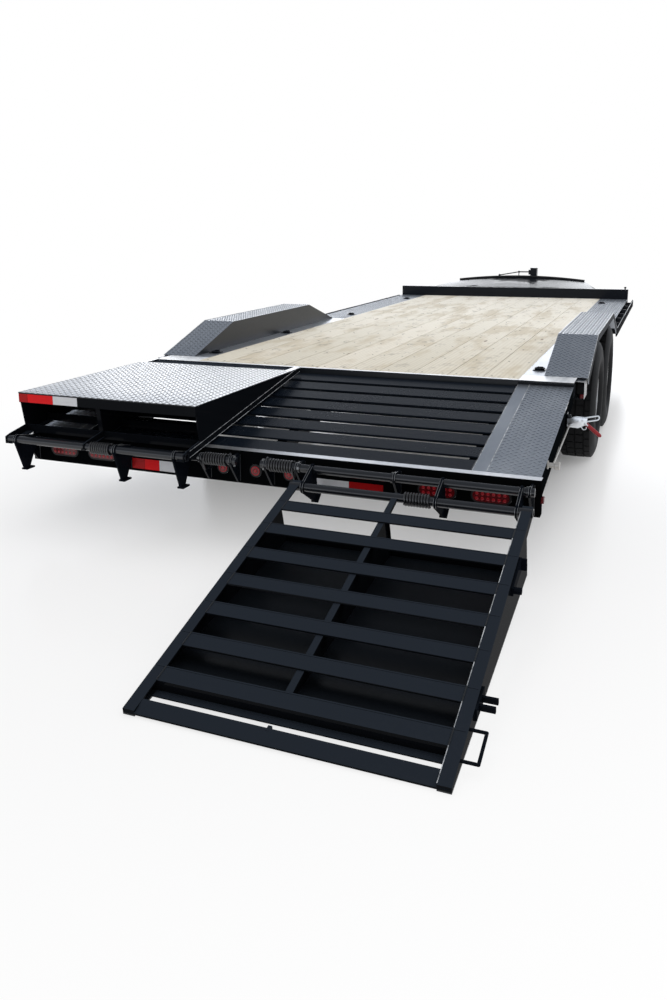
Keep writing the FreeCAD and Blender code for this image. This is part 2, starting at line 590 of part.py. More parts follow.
def link_plate(x):
    t0, t1 = x - LINK_T / 2, x + LINK_T / 2
    pts = [(B_Y - HUB_R * 0.9, B_Z - 8.0), (B_Y + 2.0, B_Z + HUB_R * 0.9), (A_Y, A_Z + HUB_R - 2.0),
           (A_Y + HUB_R - 4.0, A_Z - 6.0), (A_Y - 43.0, A_Z - 126.0), (A_Y - 80.0, A_Z - 126.0)]
    body = prism_yz(pts, t0, t1)
    hub_b = cyl_x(B_Y, B_Z, HUB_R, t0, t1)
    hub_a = cyl_x(A_Y, A_Z, HUB_R - 2.0, t0, t1)
    foot_y0, foot_y1 = A_Y - 80.0, A_Y - 22.0
    foot_flange = box(x - 16.0, x + 16.0, foot_y0, foot_y1, A_Z - 132.0, A_Z - 124.0)
    s = fuse([body, hub_b, hub_a, foot_flange])
    s = s.cut(cyl_x(A_Y, A_Z, PIPE_R + RUN, t0 - 20, t1 + 20))
    return s.cut(cyl_x(B_Y, B_Z, PIPE_R + RUN, t0 - 20, t1 + 20))


x_left, x_right = -HALF_WIDTH, RAMP_IN


def deployed(shapes):
    # a ramp drawn folded, carried over by the link and turned on its own pipe
    out = []
    for s in shapes:
        t = turned_x(s, B_Y, B_Z, RAMP_SWING)
        out.append(turned_x(t, A_Y, A_Z, LINK_SWING))
    return out


def swung(shapes):
    return [turned_x(s, A_Y, A_Z, LINK_SWING) for s in shapes]


# The ramp's underside line, from the hinge to the tip
RAMP_SLOPE = (TIP_LOW - (B_Z - STRINGER_BELOW_B)) / (TIP_Y - B_Y)


def ramp_low(y):
    return B_Z - STRINGER_BELOW_B + RAMP_SLOPE * (y - B_Y)


def ramp_top(y):
    return REAR_TOP_Z + (TIP_TOP - REAR_TOP_Z) * (y - REAR_TOP_Y) / (TIP_Y - REAR_TOP_Y)


# Cleats, by distance forward of the ramp's pipe; the tread skin ends above the last
CLEAT_YS = [B_Y + CLEAT_FIRST + i * CLEAT_PITCH for i in range(CLEAT_COUNT)]
PLATE_END = CLEAT_YS[-1] + CLEAT_W


def stringer(x0, x1, flange_x0, flange_x1, front=TIP_Y, rise=0.0):
    # a deep side plate: its rear edge leans forward, a lug below reaches back to the pipe
    y_end = B_Y - PIPE_R - 4.0
    low_end, low_front = ramp_low(y_end) + rise, ramp_low(front) + rise
    side_poly = [(front, ramp_top(front)), (REAR_TOP_Y, REAR_TOP_Z), (REAR_LEAN_Y, REAR_LEAN_Z),
                 (B_Y + 8.0, B_Z + 25.0), (y_end, B_Z + 16.0), (y_end, low_end), (front, low_front)]
    web = prism_yz(side_poly, x0, x1)
    flange = prism_yz([(y_end, low_end), (front, low_front), (front, low_front + 6.0),
                       (y_end, low_end + 6.0)], flange_x0, flange_x1)
    return fuse([web, flange])


def cleat(x0, x1, y):
    z0, z1 = ramp_low(y), ramp_low(y + CLEAT_W)
    flat = prism_yz([(y, z0), (y + CLEAT_W, z1), (y + CLEAT_W, z1 + CLEAT_T), (y, z0 + CLEAT_T)], x0, x1)
    room = min(38.0, ramp_top(y) - z0 - RAMP_PLATE_T - 2.0)
    leg_part = prism_yz([(y, z0), (y + CLEAT_T, z0), (y + CLEAT_T, z0 + room), (y, z0 + room)], x0, x1)
    return fuse([flat, leg_part])


def nose(x0, x1, xm):
    # the wall under the skin's end, the sloping toe bar at the tip and its middle tab
    y0, y1 = PLATE_END - 6.0, PLATE_END
    wall = prism_yz([(y0, ramp_low(y0)), (y1, ramp_low(y1)), (y1, ramp_top(y1)), (y0, ramp_top(y0))], x0, x1)
    toe_y = TIP_Y - NOSE_W
    toe = prism_yz([(toe_y, ramp_low(toe_y)), (TIP_Y, TIP_LOW + 9.0), (TIP_Y, TIP_TOP),
                    (toe_y, ramp_low(toe_y) + 6.0)], x0, x1)
    tab = box(xm - 6.0, xm + 6.0, toe_y - 14.0, toe_y + 8.0, ramp_low(toe_y) + 2.0, ramp_low(toe_y) + 16.0)
    return [wall, toe, tab]


def ramp_frame(xl):
    xr = xl + RAMP_W
    xm = xl + MID_U
    strip_front = REAR_TOP_Y + 6.0
    post = prism_yz([(REAR_TOP_Y, REAR_TOP_Z), (REAR_LEAN_Y, REAR_LEAN_Z), (REAR_LEAN_Y + 6.0, REAR_LEAN_Z),
                     (strip_front, ramp_top(strip_front))], xm - MID_FLANGE / 2.0, xm + MID_FLANGE / 2.0)
    rear_strip = box(xl, xr, REAR_TOP_Y, strip_front, REAR_TOP_Z - REAR_STRIP_H, ramp_top(strip_front))
    parts = [stringer(xl, xl + STRINGER_T, xl, xl + STRINGER_FLANGE),
             stringer(xr - STRINGER_T, xr, xr - STRINGER_FLANGE, xr),
             stringer(xm - 3.0, xm + 3.0, xm - MID_FLANGE / 2.0, xm + MID_FLANGE / 2.0, PLATE_END, CLEAT_T),
             post, rear_strip]
    for y in CLEAT_YS:
        parts.append(cleat(xl + STRINGER_T, xr - STRINGER_T, y))
    parts += nose(xl + STRINGER_T, xr - STRINGER_T, xm)
    frame = fuse(parts)
    hole = cyl_x(B_Y, B_Z, PIPE_R + 0.05, xl - 5, xr + 5)
    return frame.cut(hole)


def plate_strip(x0, x1, y0, y1):
    return prism_yz([(y0, ramp_top(y0)), (y1, ramp_top(y1)), (y1, ramp_top(y1) + RAMP_PLATE_T),
                     (y0, ramp_top(y0) + RAMP_PLATE_T)], x0, x1)


def ramp_plate(xl):
    # the tread skin, with a narrow tongue along each side plate to the tip
    xr = xl + RAMP_W
    skin = plate_strip(xl, xr, REAR_TOP_Y - 2.0, PLATE_END)
    tongues = [plate_strip(x0, x0 + STRINGER_FLANGE, PLATE_END - 1.0, TIP_Y)
               for x0 in (xl, xr - STRINGER_FLANGE)]
    return fuse([skin] + tongues)


def ramp_pipe(xl):
    xr = xl + RAMP_W
    return cyl_x(B_Y, B_Z, PIPE_R, xl - 4.0, xr + 4.0).cut(cyl_x(B_Y, B_Z, PIPE_R - 4, xl - 5, xr + 5))


def ramp_coil(xl):
    return coil(B_Y, B_Z, xl + COIL_U[0], xl + COIL_U[1], 9)


# Catch claw, handle and pull pin on the outer side of each ramp
CATCH_Y = -405.0
HANDLE_YS = (-291.0, -182.0)
HANDLE_OUT = 46.0
HANDLE_R = 5.0
PAD_YS = (-1085.0, -912.0)


def ramp_fittings(x_out, sign):
    def bx(a, b, y0, y1, z0, z1):
        x0, x1 = sorted((x_out + sign * a, x_out + sign * b))
        return box(x0, x1, y0, y1, z0, z1)
    catch_z = ramp_low(CATCH_Y) + 8.0
    claw = fuse([bx(0, 6, CATCH_Y - 55.0, CATCH_Y + 55.0, catch_z, catch_z + 40.0),
                 bx(6, 52, CATCH_Y - 25.0, CATCH_Y - 15.0, catch_z + 8.0, catch_z + 26.0),
                 bx(6, 52, CATCH_Y + 15.0, CATCH_Y + 25.0, catch_z + 8.0, catch_z + 26.0)])
    grip_x = x_out + sign * HANDLE_OUT
    ends = [(grip_x, y, ramp_low(y) + 14.0) for y in HANDLE_YS]
    bar = fuse([rod(*ends, HANDLE_R)] + [ball(*e, HANDLE_R) for e in ends]
               + [cyl_x(y, z, HANDLE_R, *sorted((x, x_out))) for x, y, z in ends])
    pad_y0, pad_y1 = PAD_YS
    pad = fuse([prism_yz([(pad_y0, ramp_low(pad_y0) + 14.0), (pad_y1, ramp_low(pad_y1) + 14.0),
                          (pad_y1, ramp_low(pad_y1) + 44.0), (pad_y0, ramp_low(pad_y0) + 62.0)],
                         *sorted((x_out, x_out + sign * 8.0))),
                bx(8, 26, pad_y0, pad_y0 + 8.0, ramp_low(pad_y0) + 16.0, ramp_low(pad_y0) + 60.0),
                cyl_x(pad_y1 - 14.0, ramp_low(pad_y1) + 29.0, 12.0, *sorted((x_out, x_out + sign * 34.0)))])
    return [claw, bar, pad]


for side_name, xl, sign in (("left", x_left, -1), ("right", x_right, 1)):
    x_out = HALF_WIDTH * sign
    frame_s = [ramp_frame(xl)]
    plate_s = [ramp_plate(xl)]
    pipe_s = [ramp_pipe(xl)]
    coil_s = [ramp_coil(xl)]
    fit_s = ramp_fittings(x_out, sign)
    link_s = [link_plate(xl + u) for u in LINK_U]
    if side_name == "right":
        frame_s, plate_s = deployed(frame_s), deployed(plate_s)
        pipe_s, coil_s, fit_s = deployed(pipe_s), deployed(coil_s), deployed(fit_s)
        link_s = swung(link_s)
    keep("ramp_%s_frame" % side_name, frame_s)
    keep("ramp_%s_plate" % side_name, plate_s)
    keep("ramp_%s_pipe" % side_name, pipe_s)
    keep("ramp_%s_spring" % side_name, coil_s)
    keep("ramp_%s_fittings" % side_name, fit_s)
    keep("hinge_links_%s" % side_name, link_s)

# Toggle clamps for the folded ramps, open and standing out from the dovetail's edges
CLAMP_Y, CLAMP_Z = -340.0, 493.0
ROD_Y, ROD_Z = -965.0, 435.0
CLAMP_PLATE = [(14.0, -30.0), (14.0, 12.0), (50.0, 20.0), (98.0, 18.0), (98.0, -12.0), (60.0, -32.0)]
LOOP_IN, LOOP_OUT = (58.0, 1.0), (152.0, 23.0)
LOOP_HALF, LOOP_WIRE = 10.0, 3.5
GRIP_IN, GRIP_OUT = (92.0, -10.0), (164.0, -68.0)


def toggle_clamp():
    def at(u, w, y=CLAMP_Y):
        return HALF_WIDTH + u, y, CLAMP_Z + w

    def block(u0, u1, v0, v1, w0, w1):
        return box(HALF_WIDTH + u0, HALF_WIDTH + u1, CLAMP_Y + v0, CLAMP_Y + v1, CLAMP_Z + w0, CLAMP_Z + w1)
    # angle bracket and base block, then two side plates with their cross pins
    solids = [block(0.0, 6.0, -6.0, 60.0, -31.0, 31.0), block(0.0, 26.0, -6.0, 0.0, -31.0, 31.0),
              block(6.0, 22.0, -16.0, 16.0, -28.0, 10.0)]
    outline = [(HALF_WIDTH + u, CLAMP_Z + w) for u, w in CLAMP_PLATE]
    for y in (CLAMP_Y - 14.0, CLAMP_Y + 11.0):
        solids.append(prism_xz(outline, y, y + 3.0))
    for u, w in (LOOP_IN, GRIP_IN):
        solids.append(cyl_y(HALF_WIDTH + u, CLAMP_Z + w, 6.0, CLAMP_Y - 17.0, CLAMP_Y + 17.0))
    # loop of wire that hooks the ramp's claw
    corners = []
    for half in (-LOOP_HALF, LOOP_HALF):
        near, far = at(LOOP_IN[0], LOOP_IN[1] + half), at(LOOP_OUT[0], LOOP_OUT[1] + half)
        solids += [rod(near, far, LOOP_WIRE), ball(*far, LOOP_WIRE)]
        corners.append(far)
    solids.append(rod(*corners, LOOP_WIRE))
    solids.append(rod(at(LOOP_IN[0], -LOOP_HALF), at(LOOP_IN[0], LOOP_IN[1] + LOOP_HALF), LOOP_WIRE))
    # lever with its grip
    solids += [rod(at(*LOOP_IN), at(*GRIP_IN), 5.0), rod(at(*GRIP_IN), at(*GRIP_OUT), 9.0)]
    # long latch rod back to its pivot boss
    solids += [rod(at(22.0, ROD_Z - CLAMP_Z, ROD_Y), at(18.0, -24.0), 4.0),
               cyl_x(ROD_Y, ROD_Z, 17.0, HALF_WIDTH, HALF_WIDTH + 50.0)]
    return fuse(solids)


keep("toggle_clamps", both(toggle_clamp()))

# Tie-down rings on the plain deck strips
RING_X = WOOD_HALF + 60.0
RING_SHARES = (0.0626, 0.2748, 0.5503, 0.8918)
RING_R, RING_WIRE = 24.0, 5.0
RING_PAD = 34.0
rings = []
for y in [share * DECK_LENGTH for share in RING_SHARES]:
    pad = box(RING_X - RING_PAD, RING_X + RING_PAD, y - RING_PAD, y + RING_PAD, DECK_Z, DECK_Z + 4.0)
    ring = Part.makeTorus(RING_R, RING_WIRE, FreeCAD.Vector(RING_X, y, DECK_Z + 9.0), FreeCAD.Vector(0, 0, 1))
    strap = box(RING_X - 14.0, RING_X + 14.0, y + RING_R - 9.0, y + RING_R + 9.0, DECK_Z + 4.0, DECK_Z + 16.0)
    rings.append(fuse([pad, ring, strap]))
keep("tie_down_rings", rings + [mirror(r) for r in rings])


# Axles: tube, spring seats, spindles and brake drums
def axle(y):
    z = TYRE_R
    tube = cyl_x(y, z, AXLE_R, -AXLE_TUBE_END, AXLE_TUBE_END)
    parts = [tube]
    for s in (-1, 1):
        x0 = s * SPRING_X
        parts.append(box(x0 - 30, x0 + 30, y - 60, y + 60, z + 30.0, SEAT_TOP))
        parts.append(cyl_x(y, z, 48.0, *sorted((s * AXLE_TUBE_END, s * BACKING[0]))))
        parts.append(cyl_x(y, z, DRUM_R + 4.0, *sorted((s * BACKING[0], s * BACKING[1]))))
        parts.append(cyl_x(y, z, SPINDLE_R, *sorted((s * BACKING[1], s * (WHEEL_X + 40.0)))))
    return fuse(parts)


SPRING_STACK = 3
SEAT_TOP = 404.0
keep("axle_front", axle(AXLE_YS[1]))
keep("axle_rear", axle(AXLE_YS[0]))


# Leaf springs: a main leaf with rolled eyes and two shorter leaves below it
def leaf_spring(y):
    x0, x1 = SPRING_X - LEAF_W / 2, SPRING_X + LEAF_W / 2
    mid_z = SEAT_TOP + SPRING_STACK * LEAF_T
    eye_r = 15.0
    eye_drop = LEAF_T - 1.5
    reaches = (SPRING_HALF, 230.0, 130.0)

    def sweep_z(u):
        return mid_z + 1.4 * (u / 160.0) ** 2

    upper = [(y + u, sweep_z(u)) for u in (-SPRING_HALF, -230.0, -130.0, 0.0, 130.0, 230.0, SPRING_HALF)]
    right_side = []
    for n, reach in enumerate(reaches):
        right_side.append((reach, sweep_z(reach) - n * LEAF_T))
        right_side.append((reach, sweep_z(reach) - (n + 1) * LEAF_T))
    lower_right = [(y + u, z) for u, z in right_side[1:]]
    lower_left = [(y - u, z) for u, z in reversed(right_side[1:])]
    parts = [prism_yz(upper + lower_right + lower_left, x0, x1)]
    centre_z = sweep_z(SPRING_HALF) + eye_r - eye_drop
    for s in (-1, 1):
        parts.append(cyl_x(y + s * SPRING_HALF, centre_z, eye_r, x0, x1))
    parts.append(box(x0 - 6, x1 + 6, y - 45.0, y + 45.0, mid_z - 2.0, mid_z + 8.0))
    s = fuse(parts)
    for k in (-1, 1):
        s = s.cut(cyl_x(y + k * SPRING_HALF, centre_z, 8.3, x0 - 1, x1 + 1))
    return s, centre_z


springs = []
eye_z = 0.0
for y in AXLE_YS:
    s, eye_z = leaf_spring(y)
    springs += both(s)
keep("leaf_springs", springs)

# Hangers with eye pins, and the equaliser that joins each pair of springs
HANGER_T = 6.0
mid_y = sum(AXLE_YS) / 2.0
eye_in = mid_y - (AXLE_YS[0] + SPRING_HALF)


def hanger(y, half_w, off):
    parts = []
    for x0 in (SPRING_X - off - HANGER_T, SPRING_X + off):
        parts.append(prism_yz([(y - half_w, RAIL_LOW), (y + half_w, RAIL_LOW), (y + 18.0, eye_z - 20.0),
                               (y - 18.0, eye_z - 20.0)], x0, x0 + HANGER_T))
    parts.append(cyl_x(y, eye_z, 8.0, SPRING_X - off - HANGER_T - 6.0, SPRING_X + off + HANGER_T + 6.0))
    return fuse(parts)


def equaliser():
    off = LEAF_W / 2 + 1.5
    parts = []
    for x0 in (SPRING_X - off - HANGER_T, SPRING_X + off):
        e = eye_in + 18.0
        right_half = [(30.0, 16.0), (e, 15.0), (e, -15.0), (30.0, -24.0)]
        outline = right_half + [(-u, w) for u, w in reversed(right_half)]
        plate_e = prism_yz([(mid_y + u, eye_z + w) for u, w in outline], x0, x0 + HANGER_T)
        parts.append(plate_e)
    for y in (mid_y - eye_in, mid_y + eye_in):
        parts.append(cyl_x(y, eye_z, 8.0, SPRING_X - off - 8.0, SPRING_X + off + 8.0))
    bar = fuse(parts)
    return bar.cut(cyl_x(mid_y, eye_z, 8.0 + RUN, SPRING_X - 60.0, SPRING_X + 60.0))


off_end, off_mid = LEAF_W / 2 + 3.0, LEAF_W / 2 + 9.5
hang = [hanger(AXLE_YS[0] - SPRING_HALF, 40.0, off_end), hanger(AXLE_YS[1] + SPRING_HALF, 40.0, off_end),
        hanger(mid_y, 60.0, off_mid)]
keep("spring_hangers", hang + [mirror(h) for h in hang])
keep("equalisers", both(equaliser()))

# Wheels
def tyre_profile():
    r, w, b = TYRE_R, TYRE_W / 2, RIM_W / 2 - RUN
    half = [(b, RIM_R + RUN), (b, RIM_R + 14), (w - 6, RIM_R + 42), (w, RIM_R + 80),
            (w - 8, r - 34), (w - 24, r - 8), (w - 40, r - 2)]
    return [(-a, q) for a, q in half] + [(0, r)] + half[::-1]


def wheel(y, side):
    xc = side * WHEEL_X
    t = revolve_x([(xc + a, b) for a, b in tyre_profile()], y, TYRE_R)
    hw = RIM_W / 2
    inner = [(hw - 50, RIM_R - 26), (hw - 30, RIM_R - 8), (hw + 6, RIM_R - 6), (hw + 6, RIM_R + 12)]
    seat = [(hw + 1, RIM_R + 12), (hw, RIM_R), (hw - 28, RIM_R - 2), (hw - 46, RIM_R - 18)]
    half = inner + seat
    rim_prof = half + [(-a, b) for a, b in reversed(half)]
    rim = revolve_x([(xc + side * a, b) for a, b in rim_prof], y, TYRE_R)
    disc_prof = [(10, 0.01), (10, 60), (30, 90), (26, 130), (14, RIM_R - 25),
                 (6, RIM_R - 25), (18, 130), (22, 92), (2, 62), (2, 0.01)]
    disc = revolve_x([(xc + side * a, b) for a, b in disc_prof], y, TYRE_R)
    hub = cyl_x(y, TYRE_R, 42.0, *sorted((xc + side * 2, xc + side * 60)))
    drum = cyl_x(y, TYRE_R, DRUM_R, *sorted((xc - side * 70, xc - side * 15)))
    boss = cyl_x(y, TYRE_R, 62.0, *sorted((xc - side * 15, xc + side * 4)))
    s = fuse([rim, disc, hub, drum, boss])
    s = s.cut(cyl_x(y, TYRE_R, SPINDLE_R + RUN, *sorted((xc - side * 75, xc + side * 44))))
    for k in range(8):
        vent_y, vent_z = polar(y, TYRE_R, 128.0, 45.0 * k + 22.5)
        s = s.cut(cyl_x(vent_y, vent_z, 17.0, *sorted((xc - side * 5, xc + side * 50))))
    return t, s


for label, y, side in (("rear_left", AXLE_YS[0], -1), ("rear_right", AXLE_YS[0], 1),
                       ("front_left", AXLE_YS[1], -1), ("front_right", AXLE_YS[1], 1)):
    t, s = wheel(y, side)
    keep("tyre_" + label, t)
    keep("rim_" + label, s)
os.makedirs("parts", exist_ok=True)
for name, solids in NODES.items():
    shape = solids[0] if len(solids) == 1 else Part.makeCompound(solids)
    shape.exportStep("parts/%s.step" % name)
print("nodes", len(NODES), "offset", round(OFFSET_Y, 2), "A", (round(A_Y + OFFSET_Y, 2), A_Z))
print("B folded", (round(B_Y + OFFSET_Y, 2), round(B_Z, 2)))
print("B deployed", (round(BD_Y + OFFSET_Y, 2), round(BD_Z, 2)))
print("swings", round(LINK_SWING, 3), round(RAMP_SWING, 3), "tip", round(TIP_REAR_Y, 1))
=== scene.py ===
import bpy, bmesh, json, math
from mathutils import Matrix, Vector


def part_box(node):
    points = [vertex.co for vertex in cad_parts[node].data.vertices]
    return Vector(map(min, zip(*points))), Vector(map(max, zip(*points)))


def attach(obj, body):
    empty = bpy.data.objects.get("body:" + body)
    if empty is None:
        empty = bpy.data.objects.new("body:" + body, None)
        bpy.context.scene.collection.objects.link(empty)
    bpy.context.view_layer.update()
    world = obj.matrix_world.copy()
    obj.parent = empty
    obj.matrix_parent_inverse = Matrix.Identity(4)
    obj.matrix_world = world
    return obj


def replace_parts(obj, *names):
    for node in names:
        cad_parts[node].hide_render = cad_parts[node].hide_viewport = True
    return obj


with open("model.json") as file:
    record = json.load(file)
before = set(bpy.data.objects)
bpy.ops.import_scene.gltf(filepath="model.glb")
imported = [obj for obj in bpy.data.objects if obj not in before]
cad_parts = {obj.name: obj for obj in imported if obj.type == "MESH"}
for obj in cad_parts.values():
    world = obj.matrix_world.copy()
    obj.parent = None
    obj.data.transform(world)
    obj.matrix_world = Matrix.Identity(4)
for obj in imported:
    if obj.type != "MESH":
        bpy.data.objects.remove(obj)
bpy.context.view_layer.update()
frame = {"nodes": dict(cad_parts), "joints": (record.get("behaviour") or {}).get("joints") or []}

scene = bpy.context.scene
scene.view_settings.view_transform = "Standard"

# The photographer's place: behind the trailer, to its right, at eye height,
# looking a little down and to the left with a short lens.
deck_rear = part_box("deck_boards")[0].y
camera_data = bpy.data.cameras.new("camera")
camera = bpy.data.objects.new("camera", camera_data)
scene.collection.objects.link(camera)
scene.camera = camera
camera_yaw = 0.402
camera_pitch = -0.198
camera_roll = -0.010
photo_short_side, photo_long_side = 667.0, 1000.0
camera_place = (1.666, deck_rear - 4.536, 1.414)
focal_pixels = 862.85
optical_centre = (304.36, 399.61)
camera_data.sensor_width = 36.0
camera_data.lens = camera_data.sensor_width * focal_pixels / photo_long_side
camera_data.shift_x = (photo_short_side / 2 - optical_centre[0]) / photo_long_side
camera_data.shift_y = (optical_centre[1] - photo_long_side / 2) / photo_long_side
look = Vector((-math.sin(camera_yaw) * math.cos(camera_pitch),
               math.cos(camera_yaw) * math.cos(camera_pitch), math.sin(camera_pitch)))
side = Vector((math.cos(camera_yaw), math.sin(camera_yaw), 0.0))
lift = side.cross(look)
tilt_side = side * math.cos(camera_roll) + lift * math.sin(camera_roll)
tilt_lift = lift * math.cos(camera_roll) - side * math.sin(camera_roll)
camera.matrix_world = Matrix.Translation(camera_place) @ Matrix(
    (tilt_side, tilt_lift, -look)).transposed().to_4x4()
camera_data.clip_end = 200.0


# The studio: a pale floor that keeps the trailer's soft shadow, a white surround,
# one broad light overhead and a low bright panel ahead that the gloss paint mirrors.
class Reading:
    """One output in a node tree; arithmetic on it adds Math nodes."""

    def __init__(self, tree, socket):
        self.tree = tree
        self.socket = socket

    def math(self, operation, *others, swap=False):
        node = self.tree.nodes.new("ShaderNodeMath")
        node.operation = operation
        terms = (self,) + others
        if swap:
            terms = tuple(reversed(terms))
        for plug, term in zip(node.inputs, terms):
            join(self.tree, plug, term)
        return Reading(self.tree, node.outputs[0])

    def __add__(self, other):
        return self.math("ADD", other)

    __radd__ = __add__

    def __sub__(self, other):
        return self.math("SUBTRACT", other)

    def __rsub__(self, other):
        return self.math("SUBTRACT", other, swap=True)

    def __mul__(self, other):
        return self.math("MULTIPLY", other)

    __rmul__ = __mul__

    def __truediv__(self, other):
        return self.math("DIVIDE", other)

    def __gt__(self, other):
        return self.math("GREATER_THAN", other)

    def __lt__(self, other):
        return self.math("LESS_THAN", other)

    def __pow__(self, other):
        return self.math("POWER", other)

    def __abs__(self):
        return self.math("ABSOLUTE")

    def whole(self):
        return self.math("FLOOR")

    def part(self):
        return self.math("FRACT")

    def at_most(self, other):
        return self.math("MINIMUM", other)

    def at_least(self, other):
        return self.math("MAXIMUM", other)

    def fade(self, start, end, low=0.0, high=1.0):
        node = self.tree.nodes.new("ShaderNodeMapRange")
        node.interpolation_type = "SMOOTHSTEP"
        for plug, term in zip(node.inputs, (self, start, end, low, high)):
            join(self.tree, plug, term)
        return Reading(self.tree, node.outputs[0])


def join(tree, plug, value):
    if isinstance(value, Reading):
        tree.links.new(value.socket, plug)
    elif plug.type in ("RGBA", "VECTOR") and isinstance(value, (tuple, list)):
        plug.default_value = tuple(value) + (1.0,) * (len(plug.default_value) - len(value))
    else:
        plug.default_value = value


class Finish:
    """A material, or the world, as its node tree; constants go straight on the shader."""

    def __init__(self, name, owner=None, **constants):
        self.material = owner or bpy.data.materials.new(name)
        self.material.use_nodes = True
        self.tree = self.material.node_tree
        self.shader = self.tree.nodes.get("Principled BSDF")
        for plug, value in constants.items():
            join(self.tree, self.shader.inputs[plug.replace("_", " ")], value)

    def node(self, kind, settings, inputs, output=0):
        node = self.tree.nodes.new("ShaderNode" + kind)
        for setting, value in settings.items():
            setattr(node, setting, value)
        for plug, value in inputs.items():
            join(self.tree, node.inputs[plug], value)
        return Reading(self.tree, node.outputs[output])

    def feed(self, plug, value):
        join(self.tree, self.shader.inputs[plug], value)

    def place(self):
        return self.node("TexCoord", {}, {}, "Object")

    def along(self, place=None):
        split = self.node("SeparateXYZ", {}, {"Vector": place or self.place()})
        return [Reading(self.tree, plug) for plug in split.socket.node.outputs]

    def stretched(self, scale, place=None):
        return self.node("Mapping", {}, {"Vector": place or self.place(), "Scale": scale})

    def noise(self, scale, place=None, detail=4.0, roughness=0.5):
        inputs = {"Vector": place or self.place(), "Scale": scale, "Detail": detail,
                  "Roughness": roughness}
        return self.node("TexNoise", {}, inputs, "Fac")

    def blend(self, share, first, second):
        return self.node("Mix", {"data_type": "RGBA"}, {0: share, 6: first, 7: second}, 2)

    def bump(self, height, depth, strength=1.0):
        inputs = {"Height": height, "Distance": depth, "Strength": strength}
        self.feed("Normal", self.node("Bump", {}, inputs))


def ray_kinds(f):
    """whether a ray comes from the camera, a glossy surface or a clear one"""
    plugs = f.node("LightPath", {}, {}).socket.node.outputs
    return [Reading(f.tree, plugs["Is %s Ray" % kind]) for kind in ("Camera", "Glossy", "Transmission")]


def studio_world():
    world = bpy.data.worlds.new("surround")
    scene.world = world
    f = Finish("surround", owner=world)
    seen, mirrored, through = ray_kinds(f)
    bright = (seen + through).at_most(1.0)
    direction = f.along(f.node("TexCoord", {}, {}, "Generated"))
    sky_seen_in_gloss = direction[2].fade(0.10, 0.50, 1.40, 0.36)
    strength = bright + (1.0 - bright) * (mirrored * sky_seen_in_gloss + (1.0 - mirrored) * 0.66)
    background = f.tree.nodes["Background"]
    tint = f.blend(mirrored * (1.0 - bright), (1.0, 1.0, 1.0), (0.92, 0.97, 1.06))
    join(f.tree, background.inputs["Color"], tint)
    join(f.tree, background.inputs["Strength"], strength)


studio_world()


floor_size = 30.0
floor_drop = 0.0006


def studio_floor():
    """the floor glows white far off and shows its lit shading near the trailer, with a painted shade
    under it, and is clear from below
    """
    bm = bmesh.new()
    bmesh.ops.create_grid(bm, x_segments=1, y_segments=1, size=floor_size)
    bmesh.ops.translate(bm, verts=bm.verts, vec=(0, 0, -floor_drop))
    mesh = bpy.data.meshes.new("floor")
    bm.to_mesh(mesh)
    bm.free()
    floor = bpy.data.objects.new("floor", mesh)
    scene.collection.objects.link(floor)
    f = Finish("pale_floor", Base_Color=(0.86, 0.86, 0.87), Roughness=0.16, Specular_IOR_Level=0.35)
    seen, mirrored, through = ray_kinds(f)
    seen = (seen + mirrored + through).at_most(1.0)
    across, ahead, _ = f.along()
    reach = ((across * across * 0.35 + (ahead + 0.3) * (ahead + 0.3) * 0.1) ** 0.5).fade(0.9, 2.0)
    # Painted shade: under the trailer and just behind it the white glow is cut back, so the floor there
    # reads darker whatever the trailer's pose.
    painted_shade = abs(across).fade(1.0, 1.5, 1.0, 0.0) * ahead.fade(deck_rear - 1.9, deck_rear + 0.6)
    painted_shade = painted_shade * ahead.fade(deck_rear + 4.2, deck_rear + 6.6, 1.0, 0.0)
    glow = f.node("Emission", {}, {"Color": (1.0, 1.0, 1.0), "Strength": 1.0})
    share = seen * (0.57 + 0.43 * reach) * (1.0 - painted_shade * 0.85)
    out = f.tree.nodes["Material Output"]
    lit = Reading(f.tree, f.shader.outputs[0])
    laid = f.node("MixShader", {}, {0: share, 1: lit, 2: glow})
    from_below = Reading(f.tree, f.node("NewGeometry", {}, {}, "Backfacing").socket)
    clear = f.node("BsdfTransparent", {}, {})
    join(f.tree, out.inputs["Surface"], f.node("MixShader", {}, {0: from_below, 1: laid, 2: clear}))
    mesh.materials.append(f.material)


studio_floor()


def panel_light(name, size, power, where, target, mirrored=True):
    data = bpy.data.lights.new(name, "AREA")
    data.shape = "RECTANGLE"
    data.size, data.size_y = size
    data.energy = power
    lamp = bpy.data.objects.new(name, data)
    scene.collection.objects.link(lamp)
    lamp.location = where
    lamp.rotation_mode = "QUATERNION"
    lamp.rotation_quaternion = (Vector(target) - Vector(where)).to_track_quat("-Z", "Y")
    lamp.visible_camera = False
    lamp.visible_glossy = mirrored


panel_light("overhead_light", (7.0, 9.0), 215.0, (1.5, -1.5, 6.5), (0.0, -1.0, 0.0), mirrored=False)
panel_light("low_front_panel", (14.0, 3.0), 190.0, (-3.0, 10.5, 2.4), (0.5, -2.0, 0.4))
